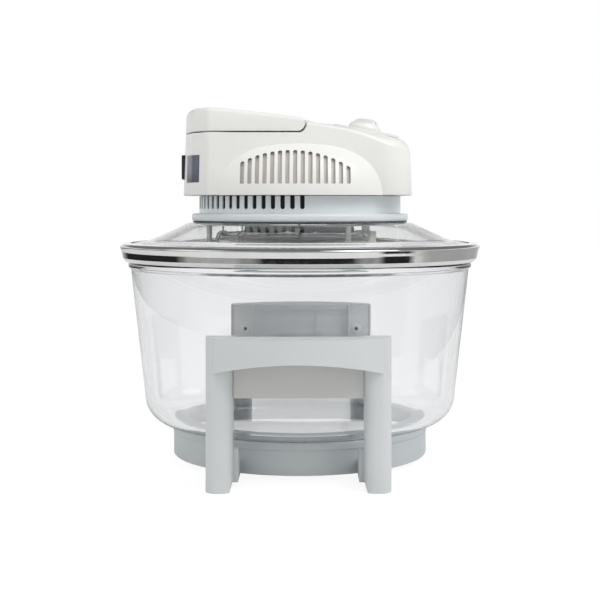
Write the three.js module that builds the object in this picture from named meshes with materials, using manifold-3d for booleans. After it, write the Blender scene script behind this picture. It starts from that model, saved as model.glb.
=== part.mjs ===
// Countertop halogen and fan oven: a glass bowl in a stand with two handles, and a lift-off glass lid
// that carries the motor head. Millimetres, +Z up, front towards +X. The origin is on the bowl's axis
// at table height.
import * as THREE from "three";
import { mergeVertices } from "three/addons/utils/BufferGeometryUtils.js";
import Module from "manifold-3d";

const wasm = await Module();
wasm.setup();

// Fits and facet counts
const gap = 0.3; // between pieces that touch
const overrun = 2; // how far a cut runs past the face that it opens
const bigSteps = 36; // facets round the bowl, lid and ring
const mediumSteps = 24;
const roundSteps = 18; // knobs and the carry handle's ends
const smallSteps = 12;
const pinSteps = 6; // screws, pins and their bores
const wireSteps = 4;

// Glass bowl: the stand, the lid and the band follow it
const bowlBottomZ = 33;
const bowlHeight = 151.2;
const bowlWallTopRadius = 160;
const bowlTaper = 13.2; // how much narrower the wall is above the lower corner
const bowlCornerRadius = 27;
const bowlBeadReach = 2.3;
const bowlBeadHeight = 5.4;
const bowlBeadRound = 1.35;
const bowlThickness = 5;
const bowlCornerSteps = 4;

// Base ring and its foot arms
const ringInset = 0.2; // inside the rounding of the bowl's lower corner
const ringBottom = 4;
const ringWall = 3.2;
const ringSeatWidth = 12.6;
const ringSeatThickness = 3;
const ringBeadDrop = 1.3;
const ringBeadHeight = 6;
const ringBeadReach = 0.8;
const armBottom = 5;
const armTop = 33;
const armRootTop = 17;
const armKneeSetback = 12; // behind the leg's back
const armLowInset = 6.6; // inside the ring
const armInnerReach = 3.8; // past the leg's inner face

// Stand handles: one bar and two legs each
const legOuterX = 77;
const legWidth = 22.6;
const legDepth = 20;
const legWall = 3;
const legEdgeRadius = 10;
const legRoundSteps = 3;
const legFootThickness = 4;
const legFootSlantWidth = 2.6;
const legFootSlantHeight = 9;
const barTop = 128;
const barBow = 21.7; // how far the bar's middle stands out before the legs
const barEndInset = 6.7;
const barStepBack = 10.6; // from the legs' backs to the bar's back
const barEndDepth = 29.4;
const barArchRise = 9.6;
const barWall = 3;
const bowlClearance = 0.3; // between the bowl and the inner plates
const legShelfThickness = 4;

// Inner plate of each stand handle and its screws
const plateThickness = 2.4;
const plateDepth = 51;
const plateRibHeight = 2;
const plateRibWidth = 2.4;
const plateRibX = 18;
const plateReturn = 2;
const standScrewIn = 6.4; // from the leg's inner face
const standScrewDrop = 24.5; // below the bar's top
const standScrewHeadRadius = 5;
const standScrewHeadHeight = 2.2;
const standScrewShankRadius = 1.8;
const standScrewLength = 9;
const bossRadius = 5;

// Foot screws that hold the legs on the arms
const footScrewHeadRadius = 3.4;
const footScrewHeadHeight = 2.5;
const footScrewShankRadius = 2;
const footScrewIn = 10.5; // from the leg's inner face
const footScrewBack = 5.5; // from the leg's back
const footScrewRecess = 4;
const footAccessRadius = 4.2; // hole in the leg's floor, for the screwdriver

// Glass lid
const lidHoleInset = 12.2; // inside the flange
const lidNeckWidth = 15.8;
const lidRimWidth = 24.6; // from the cone's foot to the edge
const lidOverhang = 4.3; // past the bowl's bead
const lidSkirtLift = 2.4;
const lidSkirtHeight = 13.2;
const lidRimRise = 4.2;
const lidConeRise = 16.6;
const lidThickness = 4.5;
const lidSkirtThickness = 5.5;
const lidSkirtTaper = 2.4;
const lidEdgeChamfer = 2;
const lidSkirtFillet = 1;
const lidBendSetback = 2; // how far the underside's bends lie inside the top's

// Polished rim band
const bandTipReach = 4; // past the lid's edge
const bandTipDrop = 0.8; // below the lid's edge
const bandTipRound = 2;
const bandTipRise = 1.8;
const bandWaistReach = 2;
const bandWaistDrop = 6.2;
const bandLowReach = 1;
const bandLowDrop = 11.8;
const bandFootInset = 2;
const bandThickness = 0.9;
const bandTopWidth = 6; // how far it lies on the lid
const bandBottomWidth = 8.2; // how far it reaches in under the lid's edge

// Gasket, flange and slotted collar
const gasketInset = 0.8;
const gasketThickness = 1;
const flangeRadius = 102.8;
const flangeHeight = 7;
const flangeWidth = 18.8;
const flangeFloor = 3;
const flangeEdge = 1;
const collarStep = 7; // from the flange's edge in to the collar
const collarWall = 2.5;
const collarHeight = 16.4;
const slotWidth = 4;
const slotRise = 4.3; // above the flange
const slotPitchDegrees = 5.24;
const slotSteps = 2;
const slotPairs = 18;

// Head housing
const headSeatGap = 0.4; // above the collar
const headHalfWidth = 74;
const headRearX = -110.4;
const headFrontX = 103.2;
const headRearBow = 12.4;
const headRearChamferIn = 14;
const headRearChamferLength = 27.4;
const headFrontCorner = 31;
const headRearBowSteps = 6;
const headCornerSteps = 4;
const headRearLean = 1.6;
const headFrontLean = 1.6;
const headLeanHeight = 46;
const headFloorThickness = 3;
const headWall = 2.6;
const headFloorInset = 5.3; // from the collar's inner face to the hole in the floor
const noseRoundRise = 38;
const noseRoundSetback = 1.4;
const noseRoundFall = 6; // from the round's top line to its shoulder line

// The nose's top and shoulder lines above the head's bottom: at the handle, then back from the front
const noseSetbacks = [71.2, 51.2, 28.2, 17.2, 9.2, 3.8];
const noseTopRises = [67.3, 65.6, 63.4, 58.4, 55.4, 51.8, 46.4];
const noseShoulderRises = [65.4, 61.3, 56.9, 48.5, 44.4, 41.2, 36.4];
const noseShoulderInset = 13;

// Louvre bulge on both sides of the head
const bulgeCoreRadius = 64;
const bulgeReach = 41;
const bulgeHeight = 48;
const bulgeSteps = 4;
const louvreCount = 15;
const louvrePitch = 6.72;
const louvreWidth = 3.2;
const louvreMiddleX = -3.56;
const louvreBottomRise = 10;
const louvrePeakRise = 40;
const louvreArchRadius = 98;
const louvreArchX = -7.5;

// Carry handle
const pivotX = -2;
const pivotRise = 64.6;
const handleEndRadius = 6.9;
const handleGroove = 1.8; // round the handle's ends, so that it swings clear of the head
const handleRestGap = 1.3; // under the folded handle
const handleArmWidth = 16;
const handleBarWidth = 22.4;
const handlePinRadius = 2.5;
const handlePinLength = 20;
const handleTopPlaces = [-3.6, 6.4, 28.4, 53.4]; // ahead of the head's rear
const handleTopRises = [10.4, 14.2, 15.5, 13.6]; // above the pivot
const handleShoulderDrop = 4;
const handleShoulderInset = 5;
const islandSetback = 18; // ahead of the handle's bar
const islandGap = 0.8;
const islandDrop = 1.5;
const islandNoseDrop = 4.2;

// Control panel, knobs, timer and thermostat
const panelRearSetback = 72.2; // back from the head's front
const panelFrontSetback = 12.2;
const panelHalfWidth = 55;
const panelRearRise = 64.6;
const panelFrontRise = 53.4;
const panelThickness = 1.2;
const panelPocketFloor = 2.2;
const knobAcross = 28;
const knobRadius = 15.4;
const knobHeight = 10.6;
const knobGripWidth = 6.4;
const knobGripFoot = 5.6; // height of the scoops beside the grip's ridge
const knobBoreDepth = 5;
const knobAlong = 29.5; // from the panel's rear edge to the knobs' axis
const knobShaftRadius = 3;
const knobShaftBelow = 12;
const controlBodyWidth = 38;
const controlBodyLength = 36;
const controlBodyHeight = 22;
const controlNeckRadius = 5;
const controlNeckHeight = 4.2;
const lampLensRadius = 2.6;
const lampLensHeight = 1.6;
const lampLensAcross = 10;
const lampLensAlong = 53;

// Mains inlet
const inletReach = 0.4; // past the head's rear
const inletFlangeThickness = 3.6;
const inletFlangeWidth = 48;
const inletFlangeHeight = 23;
const inletRise = 26.5;
const inletBodyWidth = 29;
const inletBodyHeight = 19;
const inletBodyDepth = 24;
const inletSocketWidth = 24.4;
const inletSocketHeight = 15.6;
const inletSocketDepth = 18;
const inletPinWidth = 2;
const inletPinHeight = 4;
const inletPinLength = 19;
const inletPinRecess = 6;
const inletPinSpread = 7;
const inletEarthRise = 3.6;
const inletPinDrop = 1.6;

// Motor, its bracket, shaft and fans
const motorRadius = 36;
const motorHeight = 36;
const motorEndRadius = 20;
const motorEndHeight = 7;
const bracketOverlap = 8; // on the head's floor, past its hole
const bracketWidth = 40;
const bracketThickness = 2;
const bracketHole = 6;
const shaftRadius = 3;
const shaftInMotor = 10.4;
const shaftBelowNut = 3.7;
const coolingFanClearance = 21.3; // inside the collar
const coolingFanDrop = 9.6; // below the collar's top
const coolingFanHubRadius = 13;
const coolingFanHubHeight = 9;
const coolingBladeThickness = 1.6;
const coolingBladeChord = 13;
const coolingBladeCount = 9;
const coolingBladePitchDegrees = 38;
const ovenFanClearance = 14.1; // inside the lamp's tube
const ovenFanDrop = 1.3; // below the heat plate
const ovenFanHeight = 12.4;
const ovenFanHubRadius = 17;
const ovenFanSheet = 1.4;
const ovenBladeCount = 8;
const ovenBladePitchDegrees = 58;
const fanNutRadius = 5.6;
const fanNutHeight = 5;
const nutSides = 6;

// Heat plate, ring lamp and guard
const heatPlateThickness = 1;
const heatPlateHole = 7;
const lampRingInset = 16.5; // inside the heat plate's edge
const lampTubeRadius = 5.4;
const lampDrop = 16.7; // below the heat plate
const lampGapDegrees = 36;
const lampSteps = 24;
const lampTubeSides = 6;
const lampCapLength = 11;
const lampCapSize = 13;
const lampCapGapDegrees = 0.4; // between a cap and the tube's end
const lampClipRadius = 1.8;
const lampClipDegrees = [135, 180, 225];
const postRadius = 2.7;
const postInset = 3.4; // inside the heat plate's edge
const postDegrees = [60, 180, 300];
const guardDrop = 24.3; // below the heat plate
const guardWireRadius = 1.3;
const guardRingRadii = [30, 58]; // inside the outer ring that the posts hold
const guardSpokes = 6;
const guardHubRadius = 10;
const probeRadius = 2.6;
const probeLength = 38;
const probeInset = 28; // inside the heat plate's edge
const probeDrop = 6.4; // below the heat plate

// Safety switch under the handle's arm
const switchX = -15;
const switchLength = 20;
const switchWidth = 7;
const switchHeight = 11;
const plungerRadius = 2;
const plungerLength = 9;

// Colours of the pieces
const colours = {
  ivory: 0xe6e5e0,
  greyPlastic: 0xc9cfd2,
  warmGrey: 0xb4b1ae,
  clearGlass: 0xdfe6e6,
  steel: 0xb9bcc0,
  darkSteel: 0x4a4b4d,
  black: 0x1d1d20,
  copper: 0x9a6a45,
  brass: 0xc2a45a,
  ceramic: 0xe3dfd2,
  amber: 0xd98a2b,
  green: 0x4fae5a,
};

function finish(colour, roughness, metalness, opacity = 1) {
  return new THREE.MeshStandardMaterial({
    color: colour,
    roughness,
    metalness,
    opacity,
    transparent: opacity < 1,
  });
}

const materials = {
  ivory: finish(colours.ivory, 0.45, 0),
  greyPlastic: finish(colours.greyPlastic, 0.5, 0),
  warmGrey: finish(colours.warmGrey, 0.6, 0),
  glass: finish(colours.clearGlass, 0.05, 0, 0.35),
  steel: finish(colours.steel, 0.15, 1),
  darkSteel: finish(colours.darkSteel, 0.5, 0.8),
  black: finish(colours.black, 0.6, 0),
  copper: finish(colours.copper, 0.4, 0.8),
  brass: finish(colours.brass, 0.3, 1),
  ceramic: finish(colours.ceramic, 0.7, 0),
  amber: finish(colours.amber, 0.3, 0),
  green: finish(colours.green, 0.3, 0),
};

// Turning geometries into solids and back

// A closed geometry as a solid, with its faces turned outwards.
function solidOf(geometry) {
  const plain = geometry.clone();
  plain.deleteAttribute("normal");
  plain.deleteAttribute("uv");
  const merged = mergeVertices(plain, 1e-4);
  const corners = merged.index.array;
  const kept = [];
  for (let i = 0; i < corners.length; i += 3) {
    const [a, b, c] = [corners[i], corners[i + 1], corners[i + 2]];
    if (a !== b && b !== c && c !== a) {
      kept.push(a, b, c);
    }
  }
  const build = (triangles) =>
    new wasm.Manifold(
      new wasm.Mesh({
        numProp: 3,
        vertProperties: new Float32Array(merged.attributes.position.array),
        triVerts: new Uint32Array(triangles),
      }),
    );
  const made = build(kept);
  if (made.volume() > 0) {
    return made;
  }
  return build([...kept].reverse());
}

function geometryOf(solid) {
  const mesh = solid.getMesh();
  const geometry = new THREE.BufferGeometry();
  geometry.setAttribute(
    "position",
    new THREE.BufferAttribute(mesh.vertProperties, 3),
  );
  geometry.setIndex(new THREE.BufferAttribute(mesh.triVerts, 1));
  const flat = geometry.toNonIndexed();
  flat.computeVertexNormals();
  return flat;
}

function joined(...solids) {
  return solids.reduce((whole, next) => whole.add(next));
}

function cutBy(solid, ...tools) {
  return tools.reduce((rest, tool) => rest.subtract(tool), solid);
}

function commonOf(...solids) {
  return solids.reduce((whole, next) => whole.intersect(next));
}

// Basic forms, all placed by their real corners or axes

// A block between two opposite corners.
function block(low, high) {
  const size = high.map((value, i) => value - low[i]);
  const middle = high.map((value, i) => (value + low[i]) / 2);
  return solidOf(new THREE.BoxGeometry(...size).translate(...middle));
}

// A round rod between two points; sides gives its facets.
function rod(radius, from, to, sides = smallSteps) {
  const start = new THREE.Vector3(...from);
  const end = new THREE.Vector3(...to);
  const along = end.clone().sub(start);
  const geometry = new THREE.CylinderGeometry(radius, radius, along.length(), sides);
  const turn = new THREE.Quaternion().setFromUnitVectors(
    new THREE.Vector3(0, 1, 0),
    along.clone().normalize(),
  );
  geometry.applyQuaternion(turn);
  geometry.translate(...start.add(end).divideScalar(2).toArray());
  return solidOf(geometry);
}

// A body of revolution about Z from a closed outline of [radius, z] points.
function revolved(outline, steps = bigSteps) {
  const points = outline.map(([radius, z]) => new THREE.Vector2(radius, z));
  points.push(points[0].clone());
  return solidOf(new THREE.LatheGeometry(points, steps).rotateX(Math.PI / 2));
}

// An upright prism over an outline of [x, y] points, from one height to another.
function upright(outline, low, high) {
  const shape = new THREE.Shape(outline.map(([x, y]) => new THREE.Vector2(x, y)));
  const geometry = new THREE.ExtrudeGeometry(shape, {
    depth: high - low,
    bevelEnabled: false,
  });
  return solidOf(geometry.translate(0, 0, low));
}

// A prism along Y over an outline of [x, z] points.
function crosswise(outline, lowY, highY) {
  const shape = new THREE.Shape(outline.map(([x, z]) => new THREE.Vector2(x, z)));
  const geometry = new THREE.ExtrudeGeometry(shape, {
    depth: highY - lowY,
    bevelEnabled: false,
  });
  return solidOf(geometry.rotateX(Math.PI / 2).translate(0, highY, 0));
}

// A prism along X over an outline of [y, z] points.
function lengthwise(outline, lowX, highX) {
  const shape = new THREE.Shape(outline.map(([y, z]) => new THREE.Vector2(y, z)));
  const geometry = new THREE.ExtrudeGeometry(shape, {
    depth: highX - lowX,
    bevelEnabled: false,
  });
  geometry.rotateX(Math.PI / 2).rotateZ(Math.PI / 2);
  return solidOf(geometry.translate(lowX, 0, 0));
}

// A skin through equal rings of points, closed by a fan at both ends.
function lofted(rings) {
  const count = rings[0].length;
  const positions = rings.flat(2);
  const triangles = [];
  for (let r = 0; r < rings.length - 1; r += 1) {
    for (let i = 0; i < count; i += 1) {
      const a = r * count + i;
      const b = r * count + ((i + 1) % count);
      triangles.push(a, b, b + count, a, b + count, a + count);
    }
  }
  const last = (rings.length - 1) * count;
  for (let i = 1; i < count - 1; i += 1) {
    triangles.push(0, i + 1, i);
    triangles.push(last, last + i, last + i + 1);
  }
  const geometry = new THREE.BufferGeometry();
  geometry.setAttribute("position", new THREE.Float32BufferAttribute(positions, 3));
  geometry.setIndex(triangles);
  return solidOf(geometry);
}

// Points of an arc in a plane, from one angle to another in degrees.
function arcPoints(centre, radius, fromDegrees, toDegrees, steps) {
  const points = [];
  for (let i = 0; i <= steps; i += 1) {
    const angle = THREE.MathUtils.degToRad(
      fromDegrees + ((toDegrees - fromDegrees) * i) / steps,
    );
    points.push([
      centre[0] + radius * Math.cos(angle),
      centre[1] + radius * Math.sin(angle),
    ]);
  }
  return points;
}

// The value at x on a line through paired stations and values.
function onLine(stations, values, x) {
  const last = stations.length - 1;
  if (x <= stations[0]) {
    return values[0];
  }
  for (let i = 0; i < last; i += 1) {
    if (x <= stations[i + 1]) {
      const share = (x - stations[i]) / (stations[i + 1] - stations[i]);
      return values[i] + share * (values[i + 1] - values[i]);
    }
  }
  return values[last];
}

function polar(radius, degrees, z = 0) {
  const angle = THREE.MathUtils.degToRad(degrees);
  return [radius * Math.cos(angle), radius * Math.sin(angle), z];
}

// Sizes and places that follow from the ones above

const bowlRimZ = bowlBottomZ + bowlHeight;
const bowlBeadRadius = bowlWallTopRadius + bowlBeadReach;
const bowlBeadLowZ = bowlRimZ - bowlBeadHeight;
const bowlWallLowRadius = bowlWallTopRadius - bowlTaper;
const bowlCornerCentreRadius = bowlWallLowRadius - bowlCornerRadius;
const bowlCornerCentreZ = bowlBottomZ + bowlCornerRadius;
const bowlSlope = bowlTaper / (bowlBeadLowZ - bowlCornerCentreZ);

// Height of the bowl's outer skin over a radius in its rounded lower corner.
function bowlSkinZ(radius) {
  const out = Math.max(0, radius - bowlCornerCentreRadius);
  return bowlCornerCentreZ - Math.sqrt(bowlCornerRadius ** 2 - out ** 2);
}

// How far out in Y the bowl's wall lies at a place along X and a height.
function bowlSideY(x, z) {
  const radius = bowlWallLowRadius + bowlSlope * (z - bowlCornerCentreZ);
  return Math.sqrt(radius ** 2 - x ** 2);
}

const ringRadius = bowlCornerCentreRadius - ringInset;
const ringSeatInner = ringRadius - ringSeatWidth;

const legInnerX = legOuterX - legWidth;
const wingInnerX = legInnerX - plateReturn;
const wingBackY = bowlSideY(wingInnerX - gap, barTop) + bowlClearance;
const legBackY = wingBackY + plateThickness + gap;
const legFrontY = legBackY + legDepth;
const barMeetsLegX = legOuterX - barEndInset;
const barBackY = legBackY + barStepBack;
const barFrontY = legFrontY + barBow;
const barEndBottom = barTop - barEndDepth;
const barMiddleBottom = barEndBottom + barArchRise;
const plateBottom = barTop - plateDepth;
const standScrewX = legInnerX + standScrewIn;
const standScrewZ = barTop - standScrewDrop;
const footScrewX = legInnerX + footScrewIn;
const footScrewY = legBackY + footScrewBack;
const armInnerX = legInnerX - armInnerReach;
const armKneeY = legBackY - armKneeSetback;
const armLowY = ringRadius - armLowInset;

const lidHoleRadius = flangeRadius - lidHoleInset;
const lidNeckRadius = lidHoleRadius + lidNeckWidth;
const lidEdgeRadius = bowlBeadRadius + lidOverhang;
const lidConeFootRadius = lidEdgeRadius - lidRimWidth;
const lidSkirtBottomZ = bowlRimZ + lidSkirtLift;
const lidEdgeZ = lidSkirtBottomZ + lidSkirtHeight;
const lidConeFootZ = lidEdgeZ + lidRimRise;
const lidNeckZ = lidConeFootZ + lidConeRise;

const bandTipRadius = lidEdgeRadius + bandTipReach;
const bandTipZ = lidEdgeZ - bandTipDrop;
const bandWaistRadius = lidEdgeRadius + bandWaistReach;
const bandWaistZ = lidEdgeZ - bandWaistDrop;
const bandLowRadius = lidEdgeRadius + bandLowReach;
const bandLowZ = lidEdgeZ - bandLowDrop;
const bandFootRadius = lidEdgeRadius - bandFootInset;
const bandTopInner = lidEdgeRadius - bandTopWidth;
const bandBottomInner = lidEdgeRadius - bandBottomWidth;

const gasketZ = lidNeckZ + gap;
const gasketOuter = flangeRadius - gasketInset;
const heatPlateZ = gasketZ;
const heatPlateRadius = lidHoleRadius - gap * 2;
const flangeBottomZ = gasketZ + gasketThickness + gap;
const flangeTopZ = flangeBottomZ + flangeHeight;
const flangeInner = flangeRadius - flangeWidth;
const collarRadius = flangeRadius - collarStep;
const collarTopZ = flangeTopZ + collarHeight;
const slotBottomZ = flangeTopZ + slotRise;

const headBottomZ = collarTopZ + headSeatGap;
const headFloorHole = collarRadius - collarWall - headFloorInset;
const headRearChamferX = headRearX + headRearBow;
const headRearChamferY = headHalfWidth - headRearChamferIn;
const headSideStartX = headRearX + headRearChamferLength;
const noseStepX = pivotX + handleEndRadius + handleGroove;
const noseStations = [noseStepX, ...noseSetbacks.map((back) => headFrontX - back)];
const noseTopLine = noseTopRises.map((rise) => headBottomZ + rise);
const noseShoulderLine = noseShoulderRises.map((rise) => headBottomZ + rise);
const noseRoundX = headFrontX - noseRoundSetback;
const noseRoundZ = headBottomZ + noseRoundRise;
const louvreFirstX = louvreMiddleX - (louvrePitch * (louvreCount - 1)) / 2;
const louvreBottomZ = headBottomZ + louvreBottomRise;
const louvrePeakZ = headBottomZ + louvrePeakRise;

const pivotZ = headBottomZ + pivotRise;
const handleBottomZ = pivotZ - handleEndRadius;
const partingZ = handleBottomZ - handleRestGap;
const handleBarInnerX = headRearX + handleBarWidth;
const islandRearX = handleBarInnerX + islandSetback;

const panelRearX = headFrontX - panelRearSetback;
const panelFrontX = headFrontX - panelFrontSetback;
const panelRearZ = headBottomZ + panelRearRise;
const panelFrontZ = headBottomZ + panelFrontRise;
const inletFaceX = headRearX - inletReach;
const inletCentreZ = headBottomZ + inletRise;

const bracketZ = headBottomZ + headFloorThickness + gap;
const motorZ = bracketZ + bracketThickness + gap;
const bracketHalfLength = headFloorHole + bracketOverlap;
const shaftTopZ = motorZ + shaftInMotor;
const coolingFanRadius = collarRadius - collarWall - coolingFanClearance;
const coolingFanZ = collarTopZ - coolingFanDrop;
const lampRingRadius = heatPlateRadius - lampRingInset;
const ovenFanRadius = lampRingRadius - lampTubeRadius - ovenFanClearance;
const postRingRadius = heatPlateRadius - postInset;
const probeRingRadius = heatPlateRadius - probeInset;
const ovenFanTopZ = heatPlateZ - ovenFanDrop;
const fanNutTopZ = ovenFanTopZ - ovenFanHeight / 2 - ovenFanSheet - gap;
const shaftBottomZ = fanNutTopZ - fanNutHeight - shaftBelowNut;
const lampZ = heatPlateZ - lampDrop;
const guardZ = heatPlateZ - guardDrop;
const probeZ = heatPlateZ - probeDrop;

const oven = new THREE.Group();

function addPiece(name, solid, material, parent = oven) {
  const mesh = new THREE.Mesh(geometryOf(solid), material);
  mesh.name = name;
  parent.add(mesh);
  return mesh;
}

// Base ring

const armEndY = legFrontY - legEdgeRadius;
const tongueInnerX = legInnerX + legWall + legFootSlantWidth + gap;

// A mirror image across the plane between front and rear.
function mirroredX(solid) {
  return solidOf(geometryOf(solid).scale(-1, 1, 1));
}

function turnedHalfTurn(solid) {
  return solidOf(geometryOf(solid).rotateZ(Math.PI));
}

// A foot arm on the +X side of the +Y handle: it leaves the ring and ends as a tongue inside the leg.
function footArm() {
  const outerX = legOuterX - legWall - gap;
  const root = ringSeatInner - armInnerX;
  const arm = lengthwise(
    [
      [root, armBottom],
      [armEndY, armBottom],
      [armEndY, armTop],
      [armKneeY, armTop],
      [armLowY, armRootTop],
      [root, armRootTop],
    ],
    armInnerX,
    outerX,
  );
  const besideLeg = block(
    [0, legBackY - gap, 0],
    [tongueInnerX, legFrontY, armTop + overrun],
  );
  return cutBy(arm, besideLeg);
}

function footScrewHole(x) {
  return joined(
    rod(
      footScrewHeadRadius + gap,
      [x, footScrewY, armBottom - overrun],
      [x, footScrewY, armBottom + footScrewRecess],
    ),
    rod(
      footScrewShankRadius + gap,
      [x, footScrewY, armBottom],
      [x, footScrewY, armTop + overrun],
      pinSteps,
    ),
  );
}

function baseRing() {
  const inner = ringRadius - ringWall;
  const seatZ = bowlSkinZ(ringSeatInner) - gap;
  const seatLow = seatZ - ringSeatThickness;
  const beadHighZ = seatZ - ringBeadDrop;
  const beadLowZ = beadHighZ - ringBeadHeight;
  const ring = revolved([
    [inner, ringBottom],
    [ringRadius, ringBottom],
    [ringRadius, beadLowZ],
    [ringRadius + ringBeadReach, beadLowZ + ringBeadReach],
    [ringRadius + ringBeadReach, beadHighZ],
    [ringRadius - ringBeadReach, seatZ],
    [ringSeatInner, seatZ],
    [ringSeatInner, seatLow],
    [inner, seatLow],
  ]);
  const outside = rod(
    ringRadius - ringWall / 2,
    [0, 0, -overrun],
    [0, 0, armTop + overrun],
    bigSteps,
  );
  const arm = footArm();
  const pair = cutBy(
    joined(arm, mirroredX(arm)),
    outside,
    footScrewHole(footScrewX),
    footScrewHole(-footScrewX),
  );
  return joined(ring, pair, turnedHalfTurn(pair));
}

addPiece("base_ring", baseRing(), materials.greyPlastic);

// Stand handles, each a shell open towards the bowl

const barArcRadius =
  (barMeetsLegX ** 2 + (barFrontY - legFrontY) ** 2) / (2 * (barFrontY - legFrontY));
const barArcCentreY = barFrontY - barArcRadius;
const barArcDegrees = THREE.MathUtils.radToDeg(
  Math.asin(barMeetsLegX / barArcRadius),
);
const archRadius = (legInnerX ** 2 + barArchRise ** 2) / (2 * barArchRise);
const archSteps = 6;

// The bar's plan, set in by a wall.
function barPlan(inset) {
  const arc = arcPoints(
    [0, barArcCentreY],
    barArcRadius - inset,
    90 - barArcDegrees,
    90 + barArcDegrees,
    archSteps,
  );
  return [...arc, [-barMeetsLegX, barBackY], [barMeetsLegX, barBackY]];
}

// The bar's front view: flat on top, arched underneath.
function barFront(inset) {
  const halfDegrees = THREE.MathUtils.radToDeg(Math.asin(legInnerX / archRadius));
  const arch = arcPoints(
    [0, barMiddleBottom - archRadius],
    archRadius + inset,
    90 + halfDegrees,
    90 - halfDegrees,
    archSteps,
  );
  return [
    [-barMeetsLegX - overrun, barEndBottom + inset],
    ...arch,
    [barMeetsLegX + overrun, barEndBottom + inset],
    [barMeetsLegX + overrun, barTop - inset],
    [-barMeetsLegX - overrun, barTop - inset],
  ];
}

function barBody(inset) {
  return commonOf(
    upright(barPlan(inset), barEndBottom - overrun, barTop + overrun),
    crosswise(barFront(inset), legBackY, barFrontY + overrun),
  );
}

// One leg on the +X side: a half-round front and a slanted inner foot corner.
function legBody(inset, backY) {
  const inner = legInnerX + inset;
  const outer = legOuterX - inset;
  const front = legFrontY - inset;
  const radius = legEdgeRadius - inset;
  const plan = [
    [inner, backY],
    [outer, backY],
    ...arcPoints([outer - radius, front - radius], radius, 0, 90, legRoundSteps),
    ...arcPoints([inner + radius, front - radius], radius, 90, 180, legRoundSteps),
  ];
  const foot = inset > 0 ? legFootThickness : 0;
  const side = crosswise(
    [
      [inner - overrun, legFootSlantHeight + foot],
      [inner, legFootSlantHeight + foot],
      [inner + legFootSlantWidth, foot],
      [outer, foot],
      [outer, barTop - inset],
      [inner - overrun, barTop - inset],
    ],
    backY - overrun,
    legFrontY + overrun,
  );
  return commonOf(upright(plan, foot, barTop - inset), side);
}

function screwBoss(x) {
  return rod(
    bossRadius,
    [x, legBackY, standScrewZ],
    [x, legFrontY - legWall / 2, standScrewZ],
  );
}

function screwBore(x) {
  return rod(
    standScrewShankRadius + gap,
    [x, legBackY - overrun, standScrewZ],
    [x, legBackY + plateThickness + standScrewLength, standScrewZ],
    pinSteps,
  );
}

// The floor inside a leg that rests on the foot arm's tongue.
function legShelf() {
  return block(
    [legInnerX + legWall / 2, legBackY + legWall, armTop + gap],
    [legOuterX - legWall / 2, legFrontY - legWall / 2, armTop + gap + legShelfThickness],
  );
}

function handleShell() {
  const legs = (inset, backY) => {
    const leg = legBody(inset, backY);
    return [leg, mirroredX(leg)];
  };
  const outer = joined(barBody(0), ...legs(0, legBackY));
  const hollow = joined(barBody(barWall), ...legs(legWall, legBackY - overrun));
  const shelf = legShelf();
  const inside = commonOf(
    outer,
    joined(screwBoss(standScrewX), screwBoss(-standScrewX), shelf, mirroredX(shelf)),
  );
  const footHoles = (x) => [
    rod(
      footScrewShankRadius + gap,
      [x, footScrewY, armTop - overrun],
      [x, footScrewY, armTop + gap + legShelfThickness + overrun],
      pinSteps,
    ),
    rod(
      footAccessRadius,
      [x, footScrewY, -overrun],
      [x, footScrewY, legFootThickness + overrun],
    ),
  ];
  return cutBy(
    joined(cutBy(outer, hollow), inside),
    screwBore(standScrewX),
    screwBore(-standScrewX),
    ...footHoles(footScrewX),
    ...footHoles(-footScrewX),
  );
}

// The inner plate closes the bar's back and the upper legs' backs.
function handlePlate() {
  const middle = block(
    [-legInnerX + gap, barBackY - gap - plateThickness, plateBottom],
    [legInnerX - gap, barBackY - gap, barTop - gap],
  );
  const wings = block(
    [-(legOuterX - legWall - gap), wingBackY, plateBottom],
    [legOuterX - legWall - gap, legBackY - gap, barTop - gap],
  );
  const wingGap = block(
    [-wingInnerX, wingBackY - overrun, plateBottom - overrun],
    [wingInnerX, legBackY + overrun, barTop + overrun],
  );
  const returnWall = (x) =>
    block(
      [x, wingBackY, plateBottom],
      [x + plateReturn, barBackY - gap, barTop - gap],
    );
  const rib = (x) =>
    block(
      [
        x - plateRibWidth / 2,
        barBackY - gap - plateThickness - plateRibHeight,
        plateBottom,
      ],
      [x + plateRibWidth / 2, barBackY - gap - plateThickness / 2, barTop - gap],
    );
  const screwHole = (x) =>
    rod(
      standScrewShankRadius + gap,
      [x, wingBackY - overrun, standScrewZ],
      [x, legBackY + overrun, standScrewZ],
      pinSteps,
    );
  const plate = joined(
    middle,
    cutBy(wings, wingGap),
    returnWall(wingInnerX - gap),
    returnWall(-legInnerX + gap),
    rib(plateRibX),
    rib(-plateRibX),
  );
  return cutBy(plate, screwHole(standScrewX), screwHole(-standScrewX));
}

function standScrew(x) {
  const seat = wingBackY - gap;
  return joined(
    rod(
      standScrewHeadRadius,
      [x, seat - standScrewHeadHeight, standScrewZ],
      [x, seat, standScrewZ],
      pinSteps,
    ),
    rod(
      standScrewShankRadius,
      [x, seat - standScrewHeadHeight / 2, standScrewZ],
      [x, seat + standScrewLength, standScrewZ],
      pinSteps,
    ),
  );
}

function footScrew(x) {
  const headTop = armBottom + footScrewRecess - gap;
  return joined(
    rod(
      footScrewHeadRadius,
      [x, footScrewY, headTop - footScrewHeadHeight],
      [x, footScrewY, headTop],
      pinSteps,
    ),
    rod(
      footScrewShankRadius,
      [x, footScrewY, headTop - footScrewHeadHeight / 2],
      [x, footScrewY, armTop + legShelfThickness],
      pinSteps,
    ),
  );
}

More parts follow.
